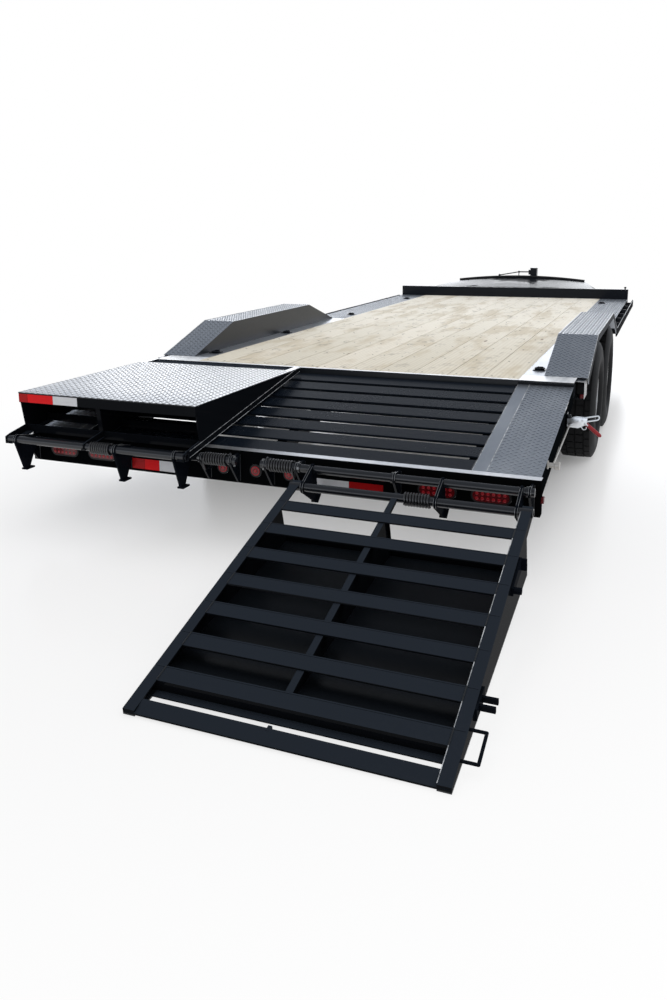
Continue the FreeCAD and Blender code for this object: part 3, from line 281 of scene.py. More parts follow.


# The steel frame: rolled channels and plates, welded and powder-coated gloss black.
# The coat is thick and slightly rippled, with dust on it and light wear.
# The shade's blue cast is a painted tint of the sky that the gloss reflects.
def black_coat(name="black_coat", shade=(0.0046, 0.0062, 0.0096), gloss=0.17, dust=0.5, shine=0.12,
               film=0.05):
    f = Finish(name, Specular_IOR_Level=shine, Coat_Roughness=0.06)
    broad = f.noise(2.3, detail=3.0)
    fine = f.noise(60.0, detail=6.0, roughness=0.65)
    scuffs = f.noise(9.0, f.stretched((1.0, 0.25, 1.6)), detail=8.0, roughness=0.7)
    chips = f.noise(140.0, detail=4.0, roughness=0.6).fade(0.73, 0.76)
    dusty = broad.fade(0.45, 0.8) * fine.fade(0.4, 0.8) * dust
    worn = (dusty + scuffs.fade(0.64, 0.80) * 0.3).at_most(1.0)
    f.feed("Base Color", f.blend(chips * 0.35, f.blend(worn * 0.30, shade, (0.055, 0.060, 0.070)),
                                 (0.10, 0.10, 0.10)))
    f.feed("Roughness", gloss + worn * 0.20 + broad * 0.08)
    f.feed("Coat Weight", film - worn * film * 0.8)
    ripple = f.noise(150.0, detail=2.0)
    f.bump(ripple * 0.5 + f.noise(6.0, detail=2.0), 0.0012, 0.10)
    return f


def dress(finish, *nodes):
    for name in nodes:
        mesh = frame["nodes"][name].data
        if not mesh.materials:
            mesh.materials.append(finish.material)
        for n in range(len(mesh.materials)):
            mesh.materials[n] = finish.material


coat = black_coat()
dress(coat, "crossmembers", "rub_rail_spools", "front_channel", "header_rail", "tongue_rail_left",
      "tongue_rail_right", "fender_end_boxes", "dovetail_carriers", "hinge_ears", "axle_front",
      "axle_rear", "leaf_springs", "spring_hangers", "equalisers", "jack_tube", "jack_leg",
      "jack_crank", "coupler", "tongue_box", "tongue_box_lid", "tie_down_rings")

# The dovetail's cross slats and the ramps' cleats and stringers are the same coat. The slats' bluer grey
# is a painted tint of the sky they reflect. The ramps' coat has a lighter base, a painted reflection of
# the sky, kept on level faces only, while upright faces are set dark.
slat_coat = black_coat("slat_coat", shade=(0.0050, 0.0080, 0.0135), gloss=0.22, dust=0.4, shine=0.085)
dress(slat_coat, "dovetail_slats")
ramp_coat = black_coat("ramp_coat", shade=(0.0175, 0.0225, 0.0310), gloss=0.30, dust=0.30, shine=0.0,
                       film=0.08)
outward = ramp_coat.node("NewGeometry", {}, {}, "True Normal")
# painted reflection: level faces keep the lighter base, upright faces take the dark one
sheen_on_level_faces = abs(ramp_coat.along(outward)[2]).fade(0.5, 0.8)
coat_with_painted_sheen = Reading(ramp_coat.tree, ramp_coat.shader.inputs["Base Color"].links[0].from_socket)
ramp_coat.feed("Base Color", ramp_coat.blend(sheen_on_level_faces, (0.0050, 0.0060, 0.0080), coat_with_painted_sheen))
dress(ramp_coat, "ramp_left_frame", "ramp_right_frame")

# The hinges' pipes keep a brighter gloss than the frame, and the rails, links and ramp
# fittings, which face sideways, show hardly any.
hinge_coat = black_coat("hinge_coat", shade=(0.010, 0.012, 0.016), gloss=0.13, dust=0.12, shine=0.50)
dress(hinge_coat, "fixed_hinge_pipes", "ramp_left_pipe", "ramp_right_pipe")
side_coat = black_coat("side_coat", gloss=0.35, dust=0.4, shine=0.0, film=0.03)
dress(side_coat, "rub_rails", "side_rails", "hinge_links_left", "hinge_links_right", "main_rails",
      "ramp_left_fittings", "ramp_right_fittings")

# Tread plate: rolled steel sheet with raised lens-shaped lugs in turn left and right,
# sheared to size, painted and welded on. The lugs are real, set out from one cell.
fender_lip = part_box("fender_right")[1].x - 0.004


def tread_coat(name, dull, bright, painted_sheen_ahead=0.0, scrape=0.0, painted_top_glare=0.0,
               upright=(0.012, 0.014, 0.018), shine=0.32, side_up=0):
    """metal on level faces, bright partly as the plate's own metal and partly as a painted reflection of
    the sky, with the paint's dark on upright faces; side_up 1 or -1 picks one level side
    """
    f = Finish(name, Specular_IOR_Level=shine)
    broad = f.noise(2.1, detail=4.0)
    fine = f.noise(90.0, detail=5.0, roughness=0.6)
    smears = f.noise(4.0, f.stretched((2.6, 0.5, 1.0)), detail=7.0, roughness=0.65)
    worn = (broad.fade(0.35, 0.7) * 0.4 + fine.fade(0.5, 0.8) * 0.25
            + smears.fade(0.45, 0.75) * 0.45).at_most(1.0)
    outward = f.node("NewGeometry", {}, {}, "True Normal")
    to_piece = {"vector_type": "NORMAL", "convert_from": "WORLD", "convert_to": "OBJECT"}
    facing = f.along(f.node("VectorTransform", to_piece, {"Vector": outward}))[2]
    level = (facing * side_up if side_up else abs(facing)).fade(0.45, 0.65)
    ahead = f.along()[1]
    # Painted sheen: the plate brightens toward the front, added into the wear share.
    if painted_sheen_ahead:
        sheen_ahead_share = ahead.fade(deck_rear - 1.35, deck_rear - 0.95)
        worn = (worn * 0.5 + sheen_ahead_share * painted_sheen_ahead).at_most(1.0)
    rear_strip = (ahead > deck_rear - 0.031) * (ahead < deck_rear + 0.138)
    scraped = rear_strip * scrape * (0.35 + smears.fade(0.35, 0.6) * 0.65)
    # Painted reflection: faces that lie exactly level are whitened as if mirroring the bright sky.
    metal = f.blend(facing.fade(0.990, 0.998) * painted_top_glare, f.blend(worn, dull, bright),
                    (0.92, 0.93, 0.94))
    metal = f.blend(scraped, metal, (0.86, 0.88, 0.90))
    f.feed("Base Color", f.blend(level, upright, metal))
    f.feed("Metallic", level * (0.88 - scraped * 0.65))
    lip = (abs(f.along()[0]) > fender_lip) * (1.0 - level)
    f.feed("Roughness", 0.20 + fine * 0.14 + smears * 0.08 + lip * 0.5)
    f.bump(fine, 0.0006, 0.3)
    return f


tread = tread_coat("tread_coat", (0.34, 0.375, 0.43), (0.50, 0.535, 0.58), painted_top_glare=0.55)
dress(tread, "fender_left", "fender_right")
tail_tread = tread_coat("tail_tread", (0.34, 0.375, 0.43), (0.50, 0.535, 0.58),
                        upright=(0.004, 0.005, 0.006), shine=0.0)
dress(tail_tread, "dovetail_side_plates")
dress(tread_coat("deck_steel", (0.42, 0.45, 0.50), (0.64, 0.67, 0.71), scrape=0.9), "deck_side_plates")
# The bumper takes the level-face metal on its top only: a painted highlight along the top, with black
# sides.
dress(tread_coat("bumper_painted_top_glint", (0.50, 0.52, 0.55), (0.88, 0.89, 0.91), upright=(0.003, 0.0035, 0.004),
                 shine=0.0), "rear_bumper")
for name, up in (("left", 1), ("right", -1)):
    dress(tread_coat("ramp_tread_" + name, (0.46, 0.48, 0.51), (0.90, 0.905, 0.91), painted_sheen_ahead=0.75,
                     upright=(0.007, 0.009, 0.012), side_up=up), "ramp_%s_plate" % name)
# The ramps' lugs get a whiter copy of the ramp tread: painted highlights on the lugs.
ramp_lug = tread_coat("ramp_lug", (0.88, 0.89, 0.91), (1.0, 1.0, 1.0), painted_sheen_ahead=0.75)


def finished(name, bm, finish, body, smooth=False, place=None, closed=False):
    """makes a piece of the mesh; closed shells have their faces turned outwards first"""
    if closed:
        bmesh.ops.recalc_face_normals(bm, faces=bm.faces)
    if place is not None:
        bmesh.ops.transform(bm, matrix=place, verts=bm.verts)
        if place.determinant() < 0:
            bmesh.ops.reverse_faces(bm, faces=bm.faces)
    mesh = bpy.data.meshes.new(name)
    bm.to_mesh(mesh)
    bm.free()
    for face in mesh.polygons:
        face.use_smooth = smooth
    mesh.materials.append(finish.material)
    piece = bpy.data.objects.new(name, mesh)
    scene.collection.objects.link(piece)
    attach(piece, body)
    return piece


lug_cell_size = 0.036
lug_half = 0.0138
lug_waist = 0.0046
lug_rise = 0.0018


def lug_cell(wide, deep):
    """two lugs on a cell, one turned each way, each pointing at the next one's middle"""
    bm = bmesh.new()
    plan = [(-1.0, 0.0), (-0.62, -0.72), (0.0, -1.0), (0.62, -0.72), (1.0, 0.0), (0.62, 0.72),
            (0.0, 1.0), (-0.62, 0.72)]
    for share, degrees in ((0.25, 45.0), (0.75, -45.0)):
        turn = Matrix.Rotation(math.radians(degrees), 4, "Z")
        place = Matrix.Translation((share * wide, share * deep, 0)) @ turn
        rings = []
        for size, rise in ((1.0, -0.0003), (0.80, lug_rise * 0.7), (0.45, lug_rise)):
            spots = [(x * lug_half * size, y * lug_waist * size, rise) for x, y in plan]
            rings.append([bm.verts.new(place @ Vector(spot)) for spot in spots])
        for low, high in zip(rings, rings[1:]):
            for k in range(8):
                bm.faces.new((low[k], low[(k + 1) % 8], high[(k + 1) % 8], high[k]))
        bm.faces.new(rings[-1])
    return bm


def repeated(piece, label, count, step):
    """sets out count copies of the piece, each a step from the last"""
    row = piece.modifiers.new(label, "ARRAY")
    row.count = count
    row.use_relative_offset = False
    row.use_constant_offset = True
    row.constant_offset_displace = step


def tread_lugs(name, corner, across, along, body, finish=None, lowered=None):
    """lugs over the rectangle that starts at corner and runs by the vectors across and along"""
    corner, across, along = Vector(corner), Vector(across), Vector(along)
    u, v = across.normalized(), along.normalized()
    counts = [max(1, round(edge.length / lug_cell_size)) for edge in (across, along)]
    cells = [edge.length / count for edge, count in zip((across, along), counts)]
    place = Matrix.Translation(corner) @ Matrix((u, v, u.cross(v))).transposed().to_4x4()
    turn = lowered or Matrix.Identity(4)
    piece = finished(name, lug_cell(*cells), finish or tread, body, smooth=True,
                     place=turn @ place)
    for label, count, cell, step in (("across", counts[0], cells[0], u),
                                     ("along", counts[1], cells[1], v)):
        repeated(piece, label, count, (turn.to_3x3() @ step) * cell)


fender_lo, fender_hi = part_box("fender_right")
deck_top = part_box("deck_boards")[1].z
wood_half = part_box("deck_boards")[1].x
deck_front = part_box("deck_boards")[1].y
fender_inner = fender_lo.x
fender_outer = fender_hi.x
fender_top = fender_hi.z
tyre_boxes = (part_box("tyre_rear_right"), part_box("tyre_front_right"))
wheel_rear, wheel_front = [(lo + hi) / 2 for lo, hi in tyre_boxes]
fender_stations = [wheel_rear.y - 0.790, wheel_rear.y - 0.250,
                   wheel_front.y + 0.200, wheel_front.y + 0.740]
plate_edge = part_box("side_rails")[1].x
both_sides = ((1, "right"), (-1, "left"))
for mark, name in both_sides:
    x0, x1 = sorted((mark * (fender_inner + 0.004), mark * (fender_outer - 0.004)))
    for n, (y0, z0, y1, z1) in enumerate(((fender_stations[0], deck_top, fender_stations[1], fender_top),
                                          (fender_stations[1], fender_top, fender_stations[2],
                                           fender_top),
                                          (fender_stations[2], fender_top, fender_stations[3],
                                           deck_top))):
        tread_lugs("fender_lugs_%s_%d" % (name, n), (x0, y0, z0), (x1 - x0, 0, 0), (0, y1 - y0, z1 - z0),
                   "chassis")
    x0, x1 = sorted((mark * (wood_half + 0.004), mark * plate_edge))
    tread_lugs("wing_lugs_%s" % name, (x0, fender_stations[3] + 0.01, deck_top), (x1 - x0, 0, 0),
               (0, deck_front - fender_stations[3] - 0.02, 0), "chassis")
tail_top_front = (deck_rear - 0.030, 0.598)
tail_top_rear = (deck_rear - 1.130, 0.427)
for mark, name in both_sides:
    x0, x1 = sorted((mark * (wood_half + 0.062), mark * (plate_edge - 0.002)))
    tread_lugs("dovetail_lugs_%s" % name, (x0, tail_top_rear[0] + 0.004, tail_top_rear[1]),
               (x1 - x0, 0, 0),
               (0, tail_top_front[0] - tail_top_rear[0] - 0.006, tail_top_front[1] - tail_top_rear[1]),
               "chassis")


# The deck: ten pine planks laid lengthwise between the steel strips, screwed down
# to the crossmembers with dark flat-headed screws, weathered and a little dirty.
plank_count, plank_gap = 10, 0.004
plank_pitch = (2 * wood_half + plank_gap) / plank_count
screw_rows, screw_row_pitch = 10, 0.524
screw_radius = 0.0055


def pine():
    f = Finish("pine_planks", Specular_IOR_Level=0.25)
    x, y, z = f.along()
    plank = ((x + wood_half) / plank_pitch).whole()
    lot = f.node("TexWhiteNoise", {"noise_dimensions": "1D"}, {"W": plank}, "Value")
    place = f.node("CombineXYZ", {}, {"X": x, "Y": y + lot * 37.0, "Z": z + lot * 11.0})
    wander = f.noise(1.0, f.stretched((3.0, 0.9, 3.0), place), detail=3.0)
    grain = f.noise(1.0, f.stretched((95.0, 2.2, 95.0), place), detail=5.0, roughness=0.6)
    rings = f.node("TexWave", {"bands_direction": "X", "wave_profile": "SIN"},
                   {"Vector": f.stretched((1.0, 0.045, 1.0), place), "Scale": 13.0, "Distortion": 9.0,
                    "Detail": 3.0, "Detail Scale": 0.6}, "Fac")
    blotch = f.noise(1.0, f.stretched((5.5, 1.6, 1.0), place), detail=6.0, roughness=0.6)
    grime = f.noise(1.0, f.stretched((14.0, 7.0, 1.0)), detail=8.0, roughness=0.7)
    knots = f.node("TexVoronoi", {"feature": "F1"},
                   {"Vector": f.stretched((5.0, 1.25, 0.0), place), "Scale": 1.0, "Randomness": 1.0},
                   "Distance")
    knot = knots.fade(0.035, 0.075, 1.0, 0.0)
    pale = f.blend(lot, (0.72, 0.67, 0.57), (0.60, 0.56, 0.46))
    late = f.blend(wander, (0.50, 0.435, 0.33), (0.42, 0.375, 0.30))
    wood = f.blend((rings * 0.45 + grain * 0.55).fade(0.35, 0.85) * 0.50, pale, late)
    # Painted sheen: the planks turn paler toward the front, in place of the grazing reflection further
    # along the deck.
    wood = f.blend(y.fade(deck_rear - 0.2, deck_rear + 3.5, 0.12, 0.64), wood, (0.99, 0.965, 0.89))
    wood = f.blend(blotch.fade(0.47, 0.64) * 0.50, wood, (0.50, 0.42, 0.29))
    wood = f.blend(grime.fade(0.54, 0.68) * 0.48, wood, (0.24, 0.215, 0.18))
    wood = f.blend(knot * 0.8, wood, (0.17, 0.10, 0.06))
    f.feed("Base Color", wood)
    f.feed("Roughness", 0.62 + grain * 0.25)
    f.bump(grain * 0.6 + rings * 0.4 - knot * 0.6, 0.0016, 0.5)
    return f


dress(pine(), "deck_boards")


def screw_heads():
    steel = Finish("screw_steel", Base_Color=(0.16, 0.15, 0.14), Metallic=0.8)
    steel.feed("Roughness", 0.35 + steel.noise(300.0) * 0.3)
    bm = bmesh.new()
    for share in (0.2, 0.8):
        made = bmesh.ops.create_cone(bm, cap_ends=True, segments=10, radius1=screw_radius,
                                     radius2=screw_radius,
                                     depth=0.0012)
        bmesh.ops.translate(bm, verts=made["verts"],
                            vec=(-wood_half + share * plank_pitch, deck_rear + 0.048, deck_top + 0.0001))
    caps = [face for face in bm.faces if face.normal.z > 0.9]
    bmesh.ops.inset_individual(bm, faces=caps, thickness=0.003)
    bmesh.ops.translate(bm, verts=list({v for face in caps for v in face.verts}), vec=(0, 0, -0.0006))
    piece = finished("deck_screws", bm, steel, "chassis")
    repeated(piece, "planks", plank_count, (plank_pitch, 0, 0))
    repeated(piece, "crossmembers", screw_rows, (0, screw_row_pitch, 0))


screw_heads()


# Tail lamps: sealed light-emitting units in rubber grommets, pushed into holes in the
# bumper: two ovals a side, three rounds between, a red marker at each end.
def lamp_red():
    f = Finish("lamp_red", Specular_IOR_Level=0.4, Coat_Weight=0.3, Coat_Roughness=0.04,
               Emission_Strength=1.0)
    cells = f.node("TexVoronoi", {"feature": "F1"}, {"Scale": 210.0, "Vector": f.place()}, "Distance")
    f.feed("Base Color", f.blend(cells.fade(0.1, 0.6), (0.13, 0.004, 0.007), (0.05, 0.0015, 0.003)))
    # Painted glow: the lens's faint red emission stands in for light the lens reflects; the lamp is not
    # lit.
    f.feed("Emission Color",
           f.blend(cells.fade(0.1, 0.6), (0.030, 0.0005, 0.001), (0.012, 0.0002, 0.0005)))
    f.feed("Roughness", 0.16 + cells * 0.1)
    f.bump(cells, 0.0012, 0.35)
    return f


lens_red = lamp_red()
# Painted glow here too: the optics' faint emission stands in for reflected light.
led_red = Finish("lamp_red_optic", Base_Color=(0.22, 0.007, 0.011), Specular_IOR_Level=0.4,
                 Emission_Color=(0.055, 0.001, 0.002), Emission_Strength=1.0)
led_red.feed("Roughness", 0.10 + led_red.noise(400.0) * 0.12)
rubber = Finish("grommet_rubber", Base_Color=(0.012, 0.012, 0.013), Specular_IOR_Level=0.3)
rubber.feed("Roughness", 0.5 + rubber.noise(120.0) * 0.2)
rubber.bump(rubber.noise(260.0), 0.0006, 0.3)


def stadium_ring(bm, x, y, z, half, radius):
    """a rounded outline of straight middles and half-circle ends, facing backwards"""
    segments = 12
    points = []
    for end in (1, -1):
        for n in range(segments + 1):
            a = math.pi * (n / segments - 0.5) + (0.0 if end > 0 else math.pi)
            points.append(bm.verts.new((x + end * max(half - radius, 0.0) + radius * math.cos(a), y,
                                        z + radius * math.sin(a))))
    bmesh.ops.remove_doubles(bm, verts=points, dist=1e-6)
    points = [v for v in points if v.is_valid]
    face = bm.faces.new(points)
    if face.normal.y > 0:
        face.normal_flip()
    face.normal_update()
    return face


def raised(bm, face, steps):
    """insets the face and pushes it backwards in turn, for (inset, push) steps"""
    for inset, push in steps:
        if inset:
            bmesh.ops.inset_region(bm, faces=[face], thickness=inset, use_even_offset=True)
        if push:
            made = bmesh.ops.extrude_face_region(bm, geom=[face])["geom"]
            fresh = [g for g in made if isinstance(g, bmesh.types.BMFace)][0]
            bmesh.ops.delete(bm, geom=[face], context="FACES_ONLY")
            face = fresh
            bmesh.ops.translate(bm, verts=list(face.verts), vec=(0, -push, 0))


def block(bm, middle, size):
    bmesh.ops.create_cube(bm, size=1.0,
                          matrix=Matrix.Translation(middle) @ Matrix.Diagonal((*size, 1.0)))


bumper_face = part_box("rear_bumper")[0].y
lamp_z = 0.340
oval_half, oval_radius = 0.083, 0.033
round_radius = 0.031
grommet_width = 0.0085
light_spread, light_rise, ring_of_lights = 0.0225, 0.0105, 0.0188
light_behind_face = 0.0078
oval_places = (-1.052, -0.830, 0.830, 1.052)
round_places = (-0.165, 0.0, 0.165)


def lamp_units():
    lens, ring, optic = bmesh.new(), bmesh.new(), bmesh.new()
    for x in oval_places + round_places:
        oval = abs(x) > 0.5
        half, radius = (oval_half, oval_radius) if oval else (round_radius, round_radius)
        face = stadium_ring(ring, x, bumper_face + 0.02, lamp_z, half - 0.0004, radius - 0.0004)
        raised(ring, face, ((0, 0.022), (0.001, 0.0035), (0.006, 0.0), (0.001, -0.0035)))
        face = stadium_ring(lens, x, bumper_face - 0.0005, lamp_z, half - grommet_width,
                            radius - grommet_width)
        raised(lens, face, ((0, 0.004), (0.0015, 0.0022), (0.005, 0.0012)))
        if oval:
            spots = [(x + (n - 2.5) * light_spread, lamp_z + row * light_rise, 0.0072)
                     for n in range(6) for row in (-1, 1)]
        else:
            spots = [(x, lamp_z, 0.0098)]
            spots += [(x + ring_of_lights * math.cos(a), lamp_z + ring_of_lights * math.sin(a), 0.0032)
                      for a in [n * math.pi / 12 for n in range(24)]]
        for sx, sz, size in spots:
            made = bmesh.ops.create_uvsphere(optic, u_segments=10, v_segments=6, radius=size)
            bmesh.ops.scale(optic, verts=made["verts"], vec=(1.0, 0.32, 1.0))
            bmesh.ops.translate(optic, verts=made["verts"],
                                vec=(sx, bumper_face - light_behind_face, sz))
    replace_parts(finished("lamp_lenses", lens, lens_red, "chassis"), "lamps")
    finished("lamp_grommets", ring, rubber, "chassis")
    finished("lamp_optics", optic, led_red, "chassis", smooth=True)
    markers = bmesh.new()
    for mark in (-1, 1):
        for x0, x1, y0, y1, z0, z1 in ((1.2455, 1.258, bumper_face + 0.008, bumper_face + 0.042, 0.330,
                                        0.352),
                                       (1.265, 1.285, deck_rear + 0.048, deck_rear + 0.0605, 0.528,
                                        0.548)):
            block(markers, (mark * (x0 + x1) / 2, (y0 + y1) / 2, (z0 + z1) / 2),
                  (x1 - x0, y1 - y0, z1 - z0))
    bmesh.ops.bevel(markers, geom=markers.edges[:], offset=0.0025, affect="EDGES", segments=2,
                    profile=0.5,
                    material=-1)
    finished("marker_lamps", markers, lens_red, "chassis")


lamp_units()


# Reflective tape: red and white prismatic strips stuck on the bumper and under the
# folded ramps' rear edges, with a fine honeycomb in the film.
def tape_finish(name, colour, cell_colour):
    f = Finish(name, Specular_IOR_Level=0.15)
    cells = f.node("TexVoronoi", {"feature": "DISTANCE_TO_EDGE"},
                   {"Scale": 240.0, "Randomness": 0.25, "Vector": f.place()}, "Distance")
    mottle = f.noise(25.0, detail=4.0)
    share = (cells.fade(0.0, 0.10, 0.7, 0.0) + mottle.fade(0.5, 0.8) * 0.25).at_most(1.0)
    f.feed("Base Color", f.blend(share, colour, cell_colour))
    f.feed("Roughness", 0.28 + mottle * 0.15)
    return f


tape_thickness = 0.0008


def tape(name, finish, x0, x1, y, z0, z1, body, lowered=None):
    bm = bmesh.new()
    block(bm, ((x0 + x1) / 2, y - 0.0003, (z0 + z1) / 2), (x1 - x0, tape_thickness, z1 - z0))
    return finished(name, bm, finish, body, place=lowered)


tape_red = tape_finish("tape_red", (0.86, 0.010, 0.014), (0.60, 0.008, 0.010))
tape_dark_red = tape_finish("tape_dark_red", (0.46, 0.008, 0.010), (0.26, 0.006, 0.007))
tape_white = tape_finish("tape_white", (0.80, 0.81, 0.84), (0.60, 0.62, 0.66))
bumper_tapes = (("left_dark", tape_dark_red, "lamp_red", -0.660, -0.590),
                ("left_red", tape_red, "lamp_red", -0.589, -0.509),
                ("left_white", tape_white, "zinc", -0.508, -0.356),
                ("right_white", tape_white, "zinc", 0.291, 0.443),
                ("right_dark", tape_dark_red, "lamp_red", 0.444, 0.597))
for label, finish, slot, x0, x1 in bumper_tapes:
    tape("bumper_tape_" + label, finish, x0, x1, bumper_face, 0.287, 0.337, "chassis")


# The double hinge: coil springs of oil-hardened wire wound round the pipes, which
# carry part of a ramp's weight; each is a plain wire helix with its ends square.
# The ramp's turn is the joint's limit to a finer digit, so that its tip meets the ground.
joints = {j["name"]: j for j in frame["joints"]}
pipe_a = Vector(joints["link_left_hinge"]["pos_m"])
pipe_b = Vector(joints["ramp_left_hinge"]["pos_m"])
link_turn = math.radians(joints["link_left_hinge"]["range_deg"][1])
ramp_turn = math.radians(147.929)


def about(centre, angle):
    """a turn about a line across the trailer"""
    return Matrix.Translation(centre) @ Matrix.Rotation(angle, 4, "X") @ Matrix.Translation(-centre)


over_middle = Matrix.Scale(-1.0, 4, (1, 0, 0))
ramp_lowered = about(pipe_a, link_turn) @ about(pipe_b, ramp_turn)
ramp_sides = (("left", None), ("right", ramp_lowered @ over_middle))

spring_coat = black_coat("spring_coat", shade=(0.020, 0.021, 0.023), gloss=0.20, dust=0.2, shine=0.6)
coil_mean = 0.0243
coil_wire = 0.0047
coil_turns = 9
coil_steps = 20


def coil_wire_helix(bm, x0, x1, centre):
    made = bmesh.ops.create_circle(bm, segments=9, radius=coil_wire)
    stand = Matrix.Translation((x0 + coil_wire, centre.y, centre.z + coil_mean))
    bmesh.ops.transform(bm, matrix=stand @ Matrix.Rotation(math.radians(90), 4, "X"),
                        verts=made["verts"])
    steps = coil_turns * coil_steps
    run = (x1 - x0 - 2 * coil_wire) / steps
    start = made["verts"]
    edges = list({e for v in start for e in v.link_edges})
    swept = bmesh.ops.spin(bm, geom=edges, cent=(0, centre.y, centre.z), axis=(1, 0, 0),
                           dvec=(run, 0, 0),
                           angle=2 * math.pi * coil_turns, steps=steps)
    for loop in (start, [g for g in swept["geom_last"] if isinstance(g, bmesh.types.BMVert)]):
        ring = list({e for v in loop for e in v.link_edges if e.is_boundary})
        bmesh.ops.holes_fill(bm, edges=ring)


def hinge_springs():
    fixed = bmesh.new()
    spring_lo, spring_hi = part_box("ramp_left_spring")
    for mark in (-1, 1):
        x0, x1 = sorted((mark * 0.100, mark * 0.222))
        coil_wire_helix(fixed, x0, x1, pipe_a)
    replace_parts(finished("fixed_springs", fixed, spring_coat, "chassis", smooth=True,
                         closed=True),
                "fixed_hinge_springs")
    for name in ("left", "right"):
        bm = bmesh.new()
        coil_wire_helix(bm, spring_lo.x, spring_hi.x, pipe_b)
        if name == "right":
            # the right ramp isn't a mirror copy: its spring sits as far from its own left edge
            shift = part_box("ramp_right_spring")[0].x - spring_lo.x
            bmesh.ops.translate(bm, verts=bm.verts, vec=(shift, 0, 0))
            bmesh.ops.transform(bm, matrix=ramp_lowered, verts=bm.verts)
        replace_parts(finished("ramp_coil_" + name, bm, spring_coat, "ramp_" + name,
                             smooth=True,
                             closed=True), "ramp_%s_spring" % name)


hinge_springs()


# Ramp skins: each ramp's upper plate when folded is tread plate nearly to the tip,
# with tape on the strip under its rear edge; lowered, that side faces the ground.
plate_lo, plate_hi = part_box("ramp_left_plate")
skin_rear = (plate_lo.y, plate_hi.z)
skin_front = (deck_rear - 0.2085, plate_hi.z - 0.0063)
skin_run = (0, skin_front[0] - skin_rear[0], skin_front[1] - skin_rear[1])
ramp_tapes = (("dark", tape_dark_red, "lamp_red", -1.2395, -1.187),
              ("red", tape_red, "lamp_red", -1.186, -1.035),
              ("white", tape_white, "zinc", -1.034, -0.893))
for name, turned in ramp_sides:
    tread_lugs("ramp_lugs_" + name, (plate_lo.x, skin_rear[0], skin_rear[1]),
               (plate_hi.x - plate_lo.x, 0, 0),
               skin_run, "ramp_" + name, finish=ramp_lug, lowered=turned)
    for label, finish, slot, x0, x1 in ramp_tapes:
        tape("ramp_tape_%s_%s" % (name, label), finish, x0, x1, deck_rear - 1.270, 0.587, 0.628,
             "ramp_" + name, lowered=turned)


# Toggle clamps: zinc-plated over-centre clamps bracketed to the dovetail's edges, with
# a wire loop for the ramp's claw, a red dipped grip and a long latch rod to its pivot.
def plate(bm, outline, thickness):
    """a flat plate of the given outline, as thick as the vector says"""
    face = bm.faces.new([bm.verts.new(p) for p in outline])
    made = bmesh.ops.extrude_face_region(bm, geom=[face])["geom"]
    bmesh.ops.translate(bm, verts=[v for v in made if isinstance(v, bmesh.types.BMVert)], vec=thickness)


def eased(bm, width):
    """rounds every edge so far"""
    bmesh.ops.recalc_face_normals(bm, faces=bm.faces)
    bmesh.ops.bevel(bm, geom=bm.edges[:], offset=width, affect="EDGES", segments=2, profile=0.5,
                    material=-1)


def bar(bm, points, radius, segments=10):
    """a round bar bent through the points; radius is one number or one a point"""
    points = [Vector(p) for p in points]
    radii = radius if isinstance(radius, (list, tuple)) else [radius] * len(points)
    aside = None
    loops = []
    for n, (point, reach) in enumerate(zip(points, radii)):
        ahead = (points[min(n + 1, len(points) - 1)] - points[max(n - 1, 0)]).normalized()
        aside = ahead.orthogonal() if aside is None else aside - ahead * aside.dot(ahead)
        aside.normalize()
        other = ahead.cross(aside)
        turns = [2 * math.pi * k / segments for k in range(segments)]
        loops.append([bm.verts.new(point + (aside * math.cos(t) + other * math.sin(t)) * reach)
                      for t in turns])
    bm.faces.new(loops[0][::-1])
    bm.faces.new(loops[-1])
    for first, second in zip(loops, loops[1:]):
        for k in range(segments):
            m = (k + 1) % segments
            bm.faces.new((first[k], first[m], second[m], second[k]))


def arc(centre, u, v, radius, start, end, count):
    """points on a circle in the plane of u and v, angles in degrees"""
    centre, u, v = Vector(centre), Vector(u), Vector(v)
    angles = [math.radians(start + (end - start) * n / count) for n in range(count + 1)]
    return [centre + (u * math.cos(a) + v * math.sin(a)) * radius for a in angles]


def bolt(bm, head, direction, size, rise):
    """a six-sided bolt head with its washer, seated at head and standing out by rise"""
    head, direction = Vector(head), Vector(direction).normalized()
    bar(bm, [head, head + direction * rise * 0.25], size * 1.35, 14)
    bar(bm, [head, head + direction * rise * 0.9, head + direction * rise], [size, size, size * 0.86], 6)


def mottled(name, scale, first, second, rough, spread, detail=5.0, roughness=0.5, fade=None,
            **constants):
    """a finish whose colour and roughness wander together in patches"""
    f = Finish(name, **constants)
    f.patches = f.noise(scale, detail=detail, roughness=roughness)
    f.feed("Base Color", f.blend(f.patches.fade(*fade) if fade else f.patches, first, second))
    f.feed("Roughness", rough + f.patches * spread)
    return f


zinc = mottled("zinc_plate", 60.0, (0.62, 0.66, 0.70), (0.86, 0.88, 0.90), 0.20, 0.2, Metallic=0.9)
grip_red = mottled("grip_red", 70.0, (0.36, 0.018, 0.022), (0.24, 0.012, 0.016), 0.34, 0.2,
                   Specular_IOR_Level=0.4)
rod_steel = mottled("rod_steel", 35.0, (0.68, 0.66, 0.62), (0.30, 0.28, 0.26), 0.28, 0.25, detail=6.0,
                    roughness=0.7, Metallic=0.75)
dull_zinc = mottled("dull_zinc", 45.0, (0.34, 0.35, 0.36), (0.16, 0.16, 0.16), 0.28, 0.2, Metallic=0.85)
clamp_y, clamp_z = deck_rear - 0.340, 0.493
pivot_y, pivot_z = deck_rear - 0.965, 0.435
clamp_outline = ((0.014, -0.030), (0.014, 0.012), (0.050, 0.020), (0.098, 0.018), (0.098, -0.012),
                 (0.060, -0.032))


